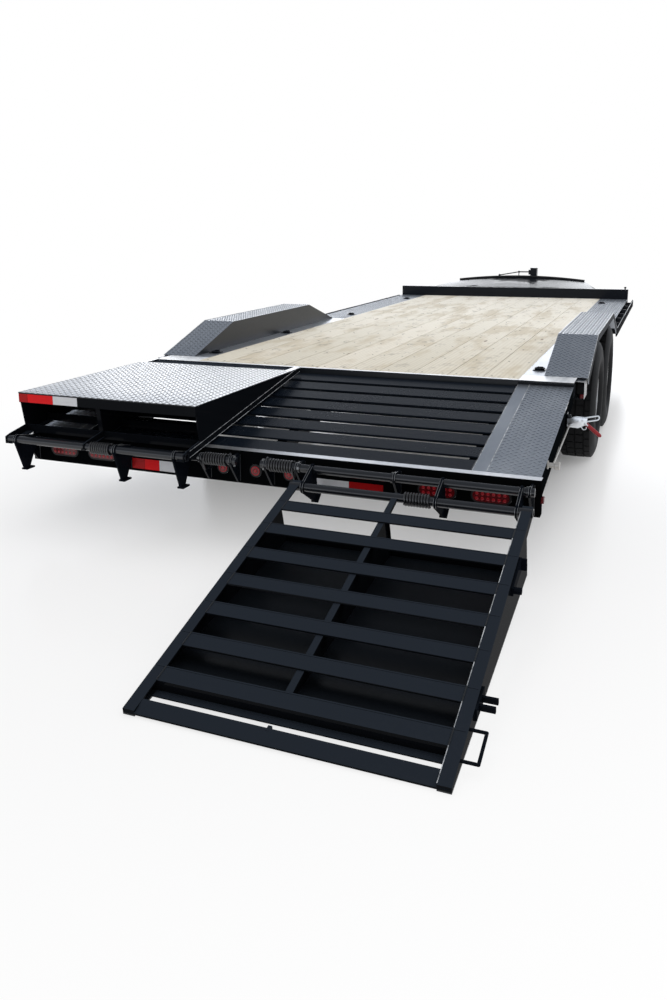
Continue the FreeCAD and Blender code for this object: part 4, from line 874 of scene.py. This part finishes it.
def toggle_clamp():
    """the right clamp's four parts; at() counts from the plate's edge at the clamp's middle"""
    def at(u, w, v=0.0):
        return Vector((plate_edge + u, clamp_y + v, clamp_z + w))

    black, bright, red, grey = bmesh.new(), bmesh.new(), bmesh.new(), bmesh.new()
    plate(black,
          [at(0, w, v) for w, v in ((-0.031, -0.006), (0.031, -0.006), (0.031, 0.060), (-0.031, 0.060))],
          (0.006, 0, 0))
    foot = ((0, -0.031), (0.020, -0.031), (0.026, -0.025), (0.026, 0.025), (0.020, 0.031), (0, 0.031))
    plate(black, [at(u, w, -0.006) for u, w in foot], (0, 0.006, 0))
    eased(black, 0.001)
    for v in (-0.014, 0.011):
        plate(bright, [at(u, w, v) for u, w in clamp_outline], (0, 0.003, 0))
    base = ((0.007, -0.028), (0.022, -0.028), (0.022, 0.010), (0.007, 0.010))
    plate(bright, [at(u, w, -0.0108) for u, w in base], (0, 0.0216, 0))
    eased(bright, 0.0009)
    for u, w, size in ((0.030, -0.016, 0.0045), (0.058, 0.001, 0.006), (0.078, 0.006, 0.0045),
                       (0.092, -0.010, 0.006)):
        bar(bright, [at(u, w, -0.0175), at(u, w, -0.0165), at(u, w, 0.0165), at(u, w, 0.0175)],
            [size * 0.8, size, size, size * 0.8], 14)
    rise = Vector((0.094, 0, 0.022)).normalized()
    across = Vector((0, 0, 1))
    tip = arc(at(0.142, 0.0205), rise, across, 0.010, -90, 90, 10)
    bar(bright, [at(0.058, -0.009)] + tip + [at(0.058, 0.011)], 0.0034)
    bar(bright, [at(0.058, -0.012), at(0.058, 0.014)], 0.005)
    for v in (-0.007, 0.007):
        bar(bright,
            [at(0.060, 0.000, v), at(0.076, -0.001, v), at(0.094, -0.011, v), at(0.104, -0.019, v)],
            [0.0035, 0.0045, 0.0045, 0.003], 8)
    hook = arc(at(0.086, -0.030), (1, 0, 0), (0, 0, 1), 0.010, -170, 20, 10)
    bar(bright, [at(0.062, -0.020)] + hook, 0.0022, 8)
    start, end = at(0.092, -0.010), at(0.164, -0.068)
    shares = (0.0, 0.04, 0.10, 0.5, 0.88, 0.95, 1.0)
    bar(red, [start.lerp(end, share) for share in shares],
        [0.0062, 0.0080, 0.0086, 0.0095, 0.0092, 0.0078, 0.0045], 14)
    rod = [(plate_edge + 0.022, pivot_y, pivot_z), (plate_edge + 0.021, pivot_y + 0.20, pivot_z + 0.010),
           at(0.019, -0.024, -0.02), at(0.018, -0.020)]
    bar(grey, rod, 0.004, 8)
    pivot = Vector((plate_edge, pivot_y, pivot_z))
    bar(grey, [pivot, pivot + Vector((0.030, 0, 0))], 0.0105, 16)
    bar(grey, [pivot + Vector((u, 0, 0)) for u in (0.030, 0.0315, 0.0485, 0.050)],
        [0.0155, 0.017, 0.017, 0.0155], 18)
    bar(grey, [pivot + Vector((u, 0, 0)) for u in (0, 0.004)], 0.0185, 18)
    return (("bracket", black, coat, "frame_black", False), ("body", bright, zinc, "zinc", True),
            ("grip", red, grip_red, "lamp_red", True), ("rod", grey, rod_steel, "zinc", True))


def smooth_by_angle(piece, degrees=35.0):
    piece.data.set_sharp_from_angle(angle=math.radians(degrees))


def small_part(name, bm, finish, body):
    """bent, turned and forged parts, smooth but for their sharp corners"""
    smooth_by_angle(finished(name, bm, finish, body, smooth=True, closed=True))


for name, place in (("right", None), ("left", over_middle)):
    for label, bm, finish, slot, smooth in toggle_clamp():
        piece = finished("clamp_%s_%s" % (label, name), bm, finish, "chassis", smooth=smooth,
                         place=place,
                         closed=True)
        smooth_by_angle(piece)
        if label == "body" and name == "right":
            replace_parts(piece, "toggle_clamps")

# Ramp details: a flat closing strip between the tongues at the skin's end, and weld
# beads where the cleats meet the side plates' flanges, all under the black coat.
ramp_slope = (0.608 - pipe_b.z + 0.014) / (deck_rear - 0.080 - pipe_b.y)


def ramp_underside(x, y, proud=0.0):
    """a point on the folded left ramp's lower side"""
    return Vector((x, y, pipe_b.z - 0.014 + ramp_slope * (y - pipe_b.y) - proud))


def bead(bm, start, end, radius):
    """a rippled weld bead"""
    start, end = Vector(start), Vector(end)
    count = 2 * max(2, round((end - start).length / 0.0075))
    bar(bm, [start.lerp(end, n / count) for n in range(count + 1)],
        [radius * (0.5 if n in (0, count) else 1.0 if n % 2 else 0.78) for n in range(count + 1)], 6)


weld_coat = black_coat("weld_coat", shade=(0.014, 0.016, 0.019), gloss=0.24, dust=0.4, shine=0.3)
cleat_rears = [pipe_b.y + 0.131 + 0.160 * n for n in range(7)]
for name, turned in ramp_sides:
    strip, welds = bmesh.new(), bmesh.new()
    rear_y, rear_z = skin_front
    x0, x1 = plate_lo.x + 0.040, plate_hi.x - 0.040
    run = Vector((0, 0.030, 0.030 * skin_run[2] / skin_run[1]))
    corner = Vector((x0, rear_y, rear_z - 0.0052))
    plate(strip,
          [corner, corner + Vector((x1 - x0, 0, 0)), corner + Vector((x1 - x0, 0, 0)) + run,
           corner + run],
          (0, 0, 0.005))
    eased(strip, 0.0008)
    finished("ramp_closing_strip_" + name, strip, ramp_coat, "ramp_" + name, place=turned)
    for y in cleat_rears:
        for x in (x0, x1):
            bead(welds, ramp_underside(x, y, 0.0004), ramp_underside(x, y + 0.062, 0.0004), 0.003)
    finished("ramp_welds_" + name, welds, weld_coat, "ramp_" + name, smooth=True,
             place=turned,
             closed=True)

# Frame welds and fillers: beads beside the slats, the hinge ears and the deck plates'
# rear edges, and the upright filler that closes the step down to the dovetail.
ear_places = (0.085, 0.235, 0.670, 1.215)
ear_radius = 0.023
tail_slope = (tail_top_front[1] - tail_top_rear[1]) / (tail_top_front[0] - tail_top_rear[0])


def tail_point(x, y, below):
    """a point on the dovetail's upper side, y counted from the deck's rear edge"""
    return Vector((x, deck_rear + y, tail_top_front[1] + tail_slope * (y + 0.030) - below))


welds, fillers = bmesh.new(), bmesh.new()
for mark in (-1, 1):
    for n in range(8):
        y = -1.122 + n * 0.1375
        bead(welds, tail_point(mark * (wood_half - 0.002), y + 0.002, 0.003),
             tail_point(mark * (wood_half - 0.002), y + 0.102, 0.003), 0.0035)
    for x in ear_places:
        for side_x in (x - 0.006, x + 0.006):
            bead(welds, (mark * side_x, bumper_face, 0.284), (mark * side_x, bumper_face, 0.408), 0.003)
    bead(welds, (mark * (wood_half + 0.003), deck_rear - 0.0305, 0.6115),
         (mark * (plate_edge - 0.003), deck_rear - 0.0305, 0.6115), 0.0028)
    block(fillers, (mark * (plate_edge + wood_half) / 2, deck_rear - 0.028, 0.6015),
          (plate_edge - wood_half - 0.002, 0.004, 0.024))
finished("frame_welds", welds, weld_coat, "chassis", smooth=True, closed=True)
finished("step_fillers", fillers, coat, "chassis")

# Bright edge lines: mostly painted highlights for the light that edges catch, partly bare steel where
# the paint has rubbed, along the plates' seams, the fenders' lips, the ears' rims and the ramps'
# flanges.
edge_glint_steel = mottled("edge_glint_steel", 22.0, (0.20, 0.21, 0.225), (0.80, 0.82, 0.84), 0.28, 0.2, detail=6.0,
                    roughness=0.7, fade=(0.35, 0.6), Metallic=0.45, Specular_IOR_Level=0.5)
rub_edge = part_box("rub_rails")[1].x - 0.0012
glint_lines, ear_glint_arcs = bmesh.new(), bmesh.new()
for mark in (-1, 1):
    for x, y0, y1, size in ((wood_half + 0.060, -1.128, -0.032, 0.0019),
                            (wood_half + 0.0015, -1.128, -0.032, 0.0014),
                            (plate_edge - 0.0005, -0.400, -0.250, 0.0018)):
        bar(glint_lines, [tail_point(mark * x, y0, 0.0004), tail_point(mark * x, y1, 0.0004)], size, 6)
    lip = [(mark * (fender_outer - 0.0012), y, z)
           for y, z in zip(fender_stations, (deck_top, fender_top, fender_top, deck_top))]
    for pair in zip(lip, lip[1:]):
        bar(glint_lines, pair, 0.0016, 6)
    for x in ear_places:
        for side_x in (x - 0.0042, x + 0.0042):
            bar(ear_glint_arcs,
                arc((mark * side_x, pipe_a.y, pipe_a.z), (0, 1, 0), (0, 0, 1), ear_radius, 62, 190, 12),
                0.0011, 6)
    bar(glint_lines,
        [(mark * rub_edge, fender_stations[3] + 0.021, 0.614),
         (mark * rub_edge, deck_front + 0.049, 0.614)], 0.0018, 6)
    y, x0, x1 = fender_stations[0] - 0.0805, mark * 1.145, mark * 1.285
    bar(glint_lines, [(x0, y, 0.613), (x1, y, 0.613)], 0.0013, 6)
    bar(glint_lines, [(x1, y, 0.613), (x1, y, 0.521)], 0.0013, 6)
finished("rubbed_edges", glint_lines, edge_glint_steel, "chassis", smooth=True, closed=True)
finished("ear_rim_glints", ear_glint_arcs, dull_zinc, "chassis", smooth=True, closed=True)
# The ramps' flange lines are painted highlights too, partly rubbed paint.
for name, turned in ramp_sides:
    glint_lines = bmesh.new()
    for x, y0, y1, proud, size in ((plate_lo.x + 0.040, 0.02, 0.085, 0.0004, 0.0014),
                                   (plate_hi.x - 0.0004, 0.030, 0.095, -0.0015, 0.0012),
                                   (plate_hi.x - 0.0004, 0.030, 0.095, -0.030, 0.0012)):
        bar(glint_lines, [ramp_underside(x, pipe_b.y + y0, proud), ramp_underside(x, deck_rear - y1, proud)],
            size, 6)
    finished("ramp_rubbed_edge_" + name, glint_lines, edge_glint_steel, "ramp_" + name, smooth=True,
             place=turned,
             closed=True)
# The links' pale edge lines are painted highlights, partly rubbed paint.
for name, places, turned in (("left", (-1.185, -0.620, -0.307), None),
                             ("right", (0.305, 0.870, 1.183), about(pipe_a, link_turn))):
    glint_lines = bmesh.new()
    for x in places:
        for side_x in (x - 0.0046, x + 0.0046):
            bar(glint_lines, [(side_x, pipe_b.y + 0.002, pipe_b.z + 0.0234),
                         (side_x, pipe_a.y, pipe_a.z + 0.0237)], 0.0010, 6)
            bar(glint_lines, arc((side_x, pipe_b.y, pipe_b.z), (0, 1, 0), (0, 0, 1), 0.0258, 90, 190, 10),
                0.0010, 6)
    finished("link_rubbed_edges_" + name, glint_lines, dull_zinc, "link_" + name, smooth=True,
             place=turned,
             closed=True)

# Hinge details: collars beside the springs, caps and cross bolts at the pipes' ends and
# the springs' hooked ends, one over the ear and one down against the bumper.
hinge_bits, bolts = bmesh.new(), bmesh.new()
for mark in (-1, 1):
    for x0, x1, size in ((0.0905, 0.0985, 0.0222), (0.2235, 0.2295, 0.0222), (0.2405, 0.2500, 0.0226),
                         (0.6550, 0.6645, 0.0222), (1.2000, 1.2095, 0.0222)):
        bar(hinge_bits, [(mark * x, pipe_a.y, pipe_a.z) for x in (x0, x0 + 0.001, x1 - 0.001, x1)],
            [size - 0.001, size, size, size - 0.001], 20)
    for x, out in ((0.062, -1), (1.232, 1)):
        bar(hinge_bits, [(mark * (x + out * t), pipe_a.y, pipe_a.z) for t in (-0.004, 0.0005, 0.002)],
            [0.0178, 0.0184, 0.0160], 20)
    bolt(bolts, (mark * 0.072, pipe_a.y, pipe_a.z + 0.0172), (0, 0, 1), 0.0052, 0.0065)
    bolt(bolts, (mark * 0.072, pipe_a.y, pipe_a.z - 0.0172), (0, 0, -1), 0.0052, 0.0085)
    bolt(bolts, (mark * 0.245, pipe_a.y - 0.0212, pipe_a.z + 0.004), (0, -1, 0.2), 0.0046, 0.006)
    hook = arc((mark * 0.0985, pipe_a.y, pipe_a.z + coil_mean), (-mark, 0, 0), (0, 0, 1), 0.010, -90, 60,
               6)
    bar(hinge_bits, [(mark * 0.104, pipe_a.y, pipe_a.z + coil_mean)] + hook[2:], coil_wire * 0.95, 9)
    bar(hinge_bits, [(mark * 0.219, pipe_a.y - coil_mean, pipe_a.z + 0.004),
                     (mark * 0.2195, pipe_a.y - coil_mean, pipe_a.z - 0.012),
                     (mark * 0.2195, pipe_a.y - 0.004, pipe_a.z - 0.052),
                     (mark * 0.2195, bumper_face - 0.005, pipe_a.z - 0.058)], coil_wire * 0.95, 9)
small_part("hinge_collars", hinge_bits, hinge_coat, "chassis")
small_part("hinge_bolts", bolts, dull_zinc, "chassis")

# Front details: the black edge trim along the lid's crowned front, a knob on the
# header's right end, and the bolts of the jack's plate.
front_bits, front_bolts = bmesh.new(), bmesh.new()
lid_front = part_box("tongue_box_lid")[1].y
lid_half = 0.7192 + 0.009
lid_edge, lid_crown = 0.757, 0.044
crown = [(lid_half * (n / 20.0), lid_edge + lid_crown * (1 - (n / 20.0) ** 2)) for n in range(-20, 21)]
bar(front_bits, [(x, lid_front - 0.011, z + 0.005) for x, z in crown], 0.0135, 10)
bar(front_bits,
    [(1.208, deck_front + 0.025, 0.725 + h) for h in (0.0, 0.009, 0.011, 0.017, 0.023, 0.026)],
    [0.006, 0.006, 0.011, 0.0135, 0.010, 0.004], 14)
jack_lo, jack_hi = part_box("jack_tube")
jack = Vector(((jack_lo.x + jack_hi.x) / 2, (jack_lo.y + jack_hi.y) / 2, 0))
jack_bolt_reach = 0.048
for dx in (-jack_bolt_reach, jack_bolt_reach):
    for dy in (-jack_bolt_reach, jack_bolt_reach):
        bolt(front_bolts, (jack.x + dx, jack.y + dy, 0.612), (0, 0, 1), 0.0085, 0.009)
small_part("front_trim", front_bits, rubber, "chassis")
small_part("jack_bolts", front_bolts, dull_zinc, "chassis")

# Tyres: radial trailer tyres in black rubber, four ribs with three grooves between,
# slotted across, turned from one outline about the axle.
rubber_tyre = mottled("tyre_rubber", 30.0, (0.0040, 0.0042, 0.0046), (0.0095, 0.0098, 0.0105), 0.55, 0.2,
                      detail=6.0, Specular_IOR_Level=0.14)
rubber_tyre.bump(rubber_tyre.noise(240.0), 0.0005, 0.3)
tyre_steps = 288
slot_depth = 0.006


def tyre(name, node, body):
    lo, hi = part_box(node)
    middle = (lo + hi) / 2
    reach, half = (hi.z - lo.z) / 2, (hi.x - lo.x) / 2
    side_line = [(0.0757, 0.1908), (0.0757, 0.2045), (half - 0.018, 0.2180), (half - 0.006, 0.2325),
                 (half - 0.0015, 0.2480), (half - 0.0022, 0.2500), (half - 0.0003, 0.2560),
                 (half, 0.2705), (half - 0.002, 0.2900), (half - 0.0035, 0.3000),
                 (half - 0.0025, 0.3020), (half - 0.008, 0.3240), (half - 0.018, reach - 0.0130)]
    tread_line = [(0.0845, reach - 0.0060), (0.0815, reach - 0.0026), (0.0520, reach - 0.0012),
                  (0.0512, reach - 0.0095), (0.0448, reach - 0.0095), (0.0440, reach - 0.0008),
                  (0.0040, reach), (0.0034, reach - 0.0095)]
    outline = side_line + tread_line
    outline += [(-x, r) for x, r in reversed(outline)]
    bm = bmesh.new()
    verts = [bm.verts.new((middle.x + x, middle.y, middle.z + r)) for x, r in outline]
    edges = [bm.edges.new(pair) for pair in zip(verts, verts[1:] + verts[:1])]
    bmesh.ops.spin(bm, geom=verts + edges, cent=middle, axis=(1, 0, 0), angle=2 * math.pi,
                   steps=tyre_steps, use_merge=True)
    bmesh.ops.recalc_face_normals(bm, faces=bm.faces)
    slots = []
    for face in bm.faces:
        spot = face.calc_center_median() - middle
        turn = round((math.atan2(spot.z, spot.y) / (2 * math.pi) * tyre_steps) - 0.5)
        on_tread = math.hypot(spot.y, spot.z) > reach - 0.0035 and face.calc_area() > 0.00005
        outer_rib = abs(spot.x) > 0.048
        if on_tread and turn % 8 == (0 if outer_rib else 4):
            slots.append(face)
    sunk = bmesh.ops.extrude_discrete_faces(bm, faces=slots)["faces"]
    for vert in {v for face in sunk for v in face.verts}:
        arm = Vector((0, vert.co.y - middle.y, vert.co.z - middle.z))
        vert.co -= arm.normalized() * slot_depth
    piece = finished(name, bm, rubber_tyre, body, smooth=True)
    smooth_by_angle(piece, 28.0)
    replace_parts(piece, node)
    return middle


# Wheels: pressed steel, silver-painted, held by six plated nuts round a pushed-on cap.
silver = mottled("wheel_silver", 18.0, (0.62, 0.63, 0.65), (0.44, 0.44, 0.44), 0.30, 0.15, roughness=0.6,
                 fade=(0.4, 0.75), Metallic=0.55, Specular_IOR_Level=0.5, Coat_Roughness=0.08)
silver.feed("Coat Weight", 0.25 - silver.patches * 0.1)
nut_count, nut_circle = 6, 0.06985
for label, out in (("rear_left", -1), ("rear_right", 1), ("front_left", -1), ("front_right", 1)):
    centre = tyre("tyre_tread_" + label, "tyre_" + label, "wheel_" + label)
    dress(silver, "rim_" + label)
    nuts = bmesh.new()
    for n in range(nut_count):
        a = math.radians(60 * n + 30)
        seat = centre + Vector((out * 0.0165, nut_circle * math.cos(a), nut_circle * math.sin(a)))
        bolt(nuts, seat, (out, 0, 0), 0.0115, 0.019)
    bar(nuts, [centre + Vector((out * u, 0, 0)) for u in (0.058, 0.061, 0.072, 0.077, 0.079)],
        [0.0415, 0.0425, 0.0390, 0.0300, 0.0080], 28)
    bar(nuts, [centre + Vector((out * u, 0, 0.158)) for u in (0.016, 0.040, 0.041, 0.052, 0.053)],
        [0.0055, 0.0045, 0.0050, 0.0050, 0.0040], 10)
    small_part("wheel_nuts_" + label, nuts, zinc, "wheel_" + label)

# The steel's edges are rolled and dressed: a fine round on every edge that shows,
# after the sheets' flat triangles are joined to whole faces.
edge_round = 0.0012
for name in ("rear_bumper", "hinge_ears", "dovetail_side_plates", "dovetail_slats", "deck_side_plates",
             "fender_left", "fender_right",
             "header_rail", "rub_rails", "ramp_left_frame", "ramp_right_frame", "hinge_links_left",
             "hinge_links_right",
             "tongue_box", "tongue_box_lid", "side_rails", "fender_end_boxes"):
    node = frame["nodes"][name]
    weld = node.modifiers.new("weld", "WELD")
    weld.merge_threshold = 0.00002
    flat = node.modifiers.new("flat", "DECIMATE")
    flat.decimate_type = "DISSOLVE"
    flat.angle_limit = math.radians(0.5)
    ease = node.modifiers.new("ease", "BEVEL")
    ease.width = edge_round
    ease.segments = 2
    ease.limit_method = "ANGLE"
    ease.angle_limit = math.radians(40)
    ease.use_clamp_overlap = True
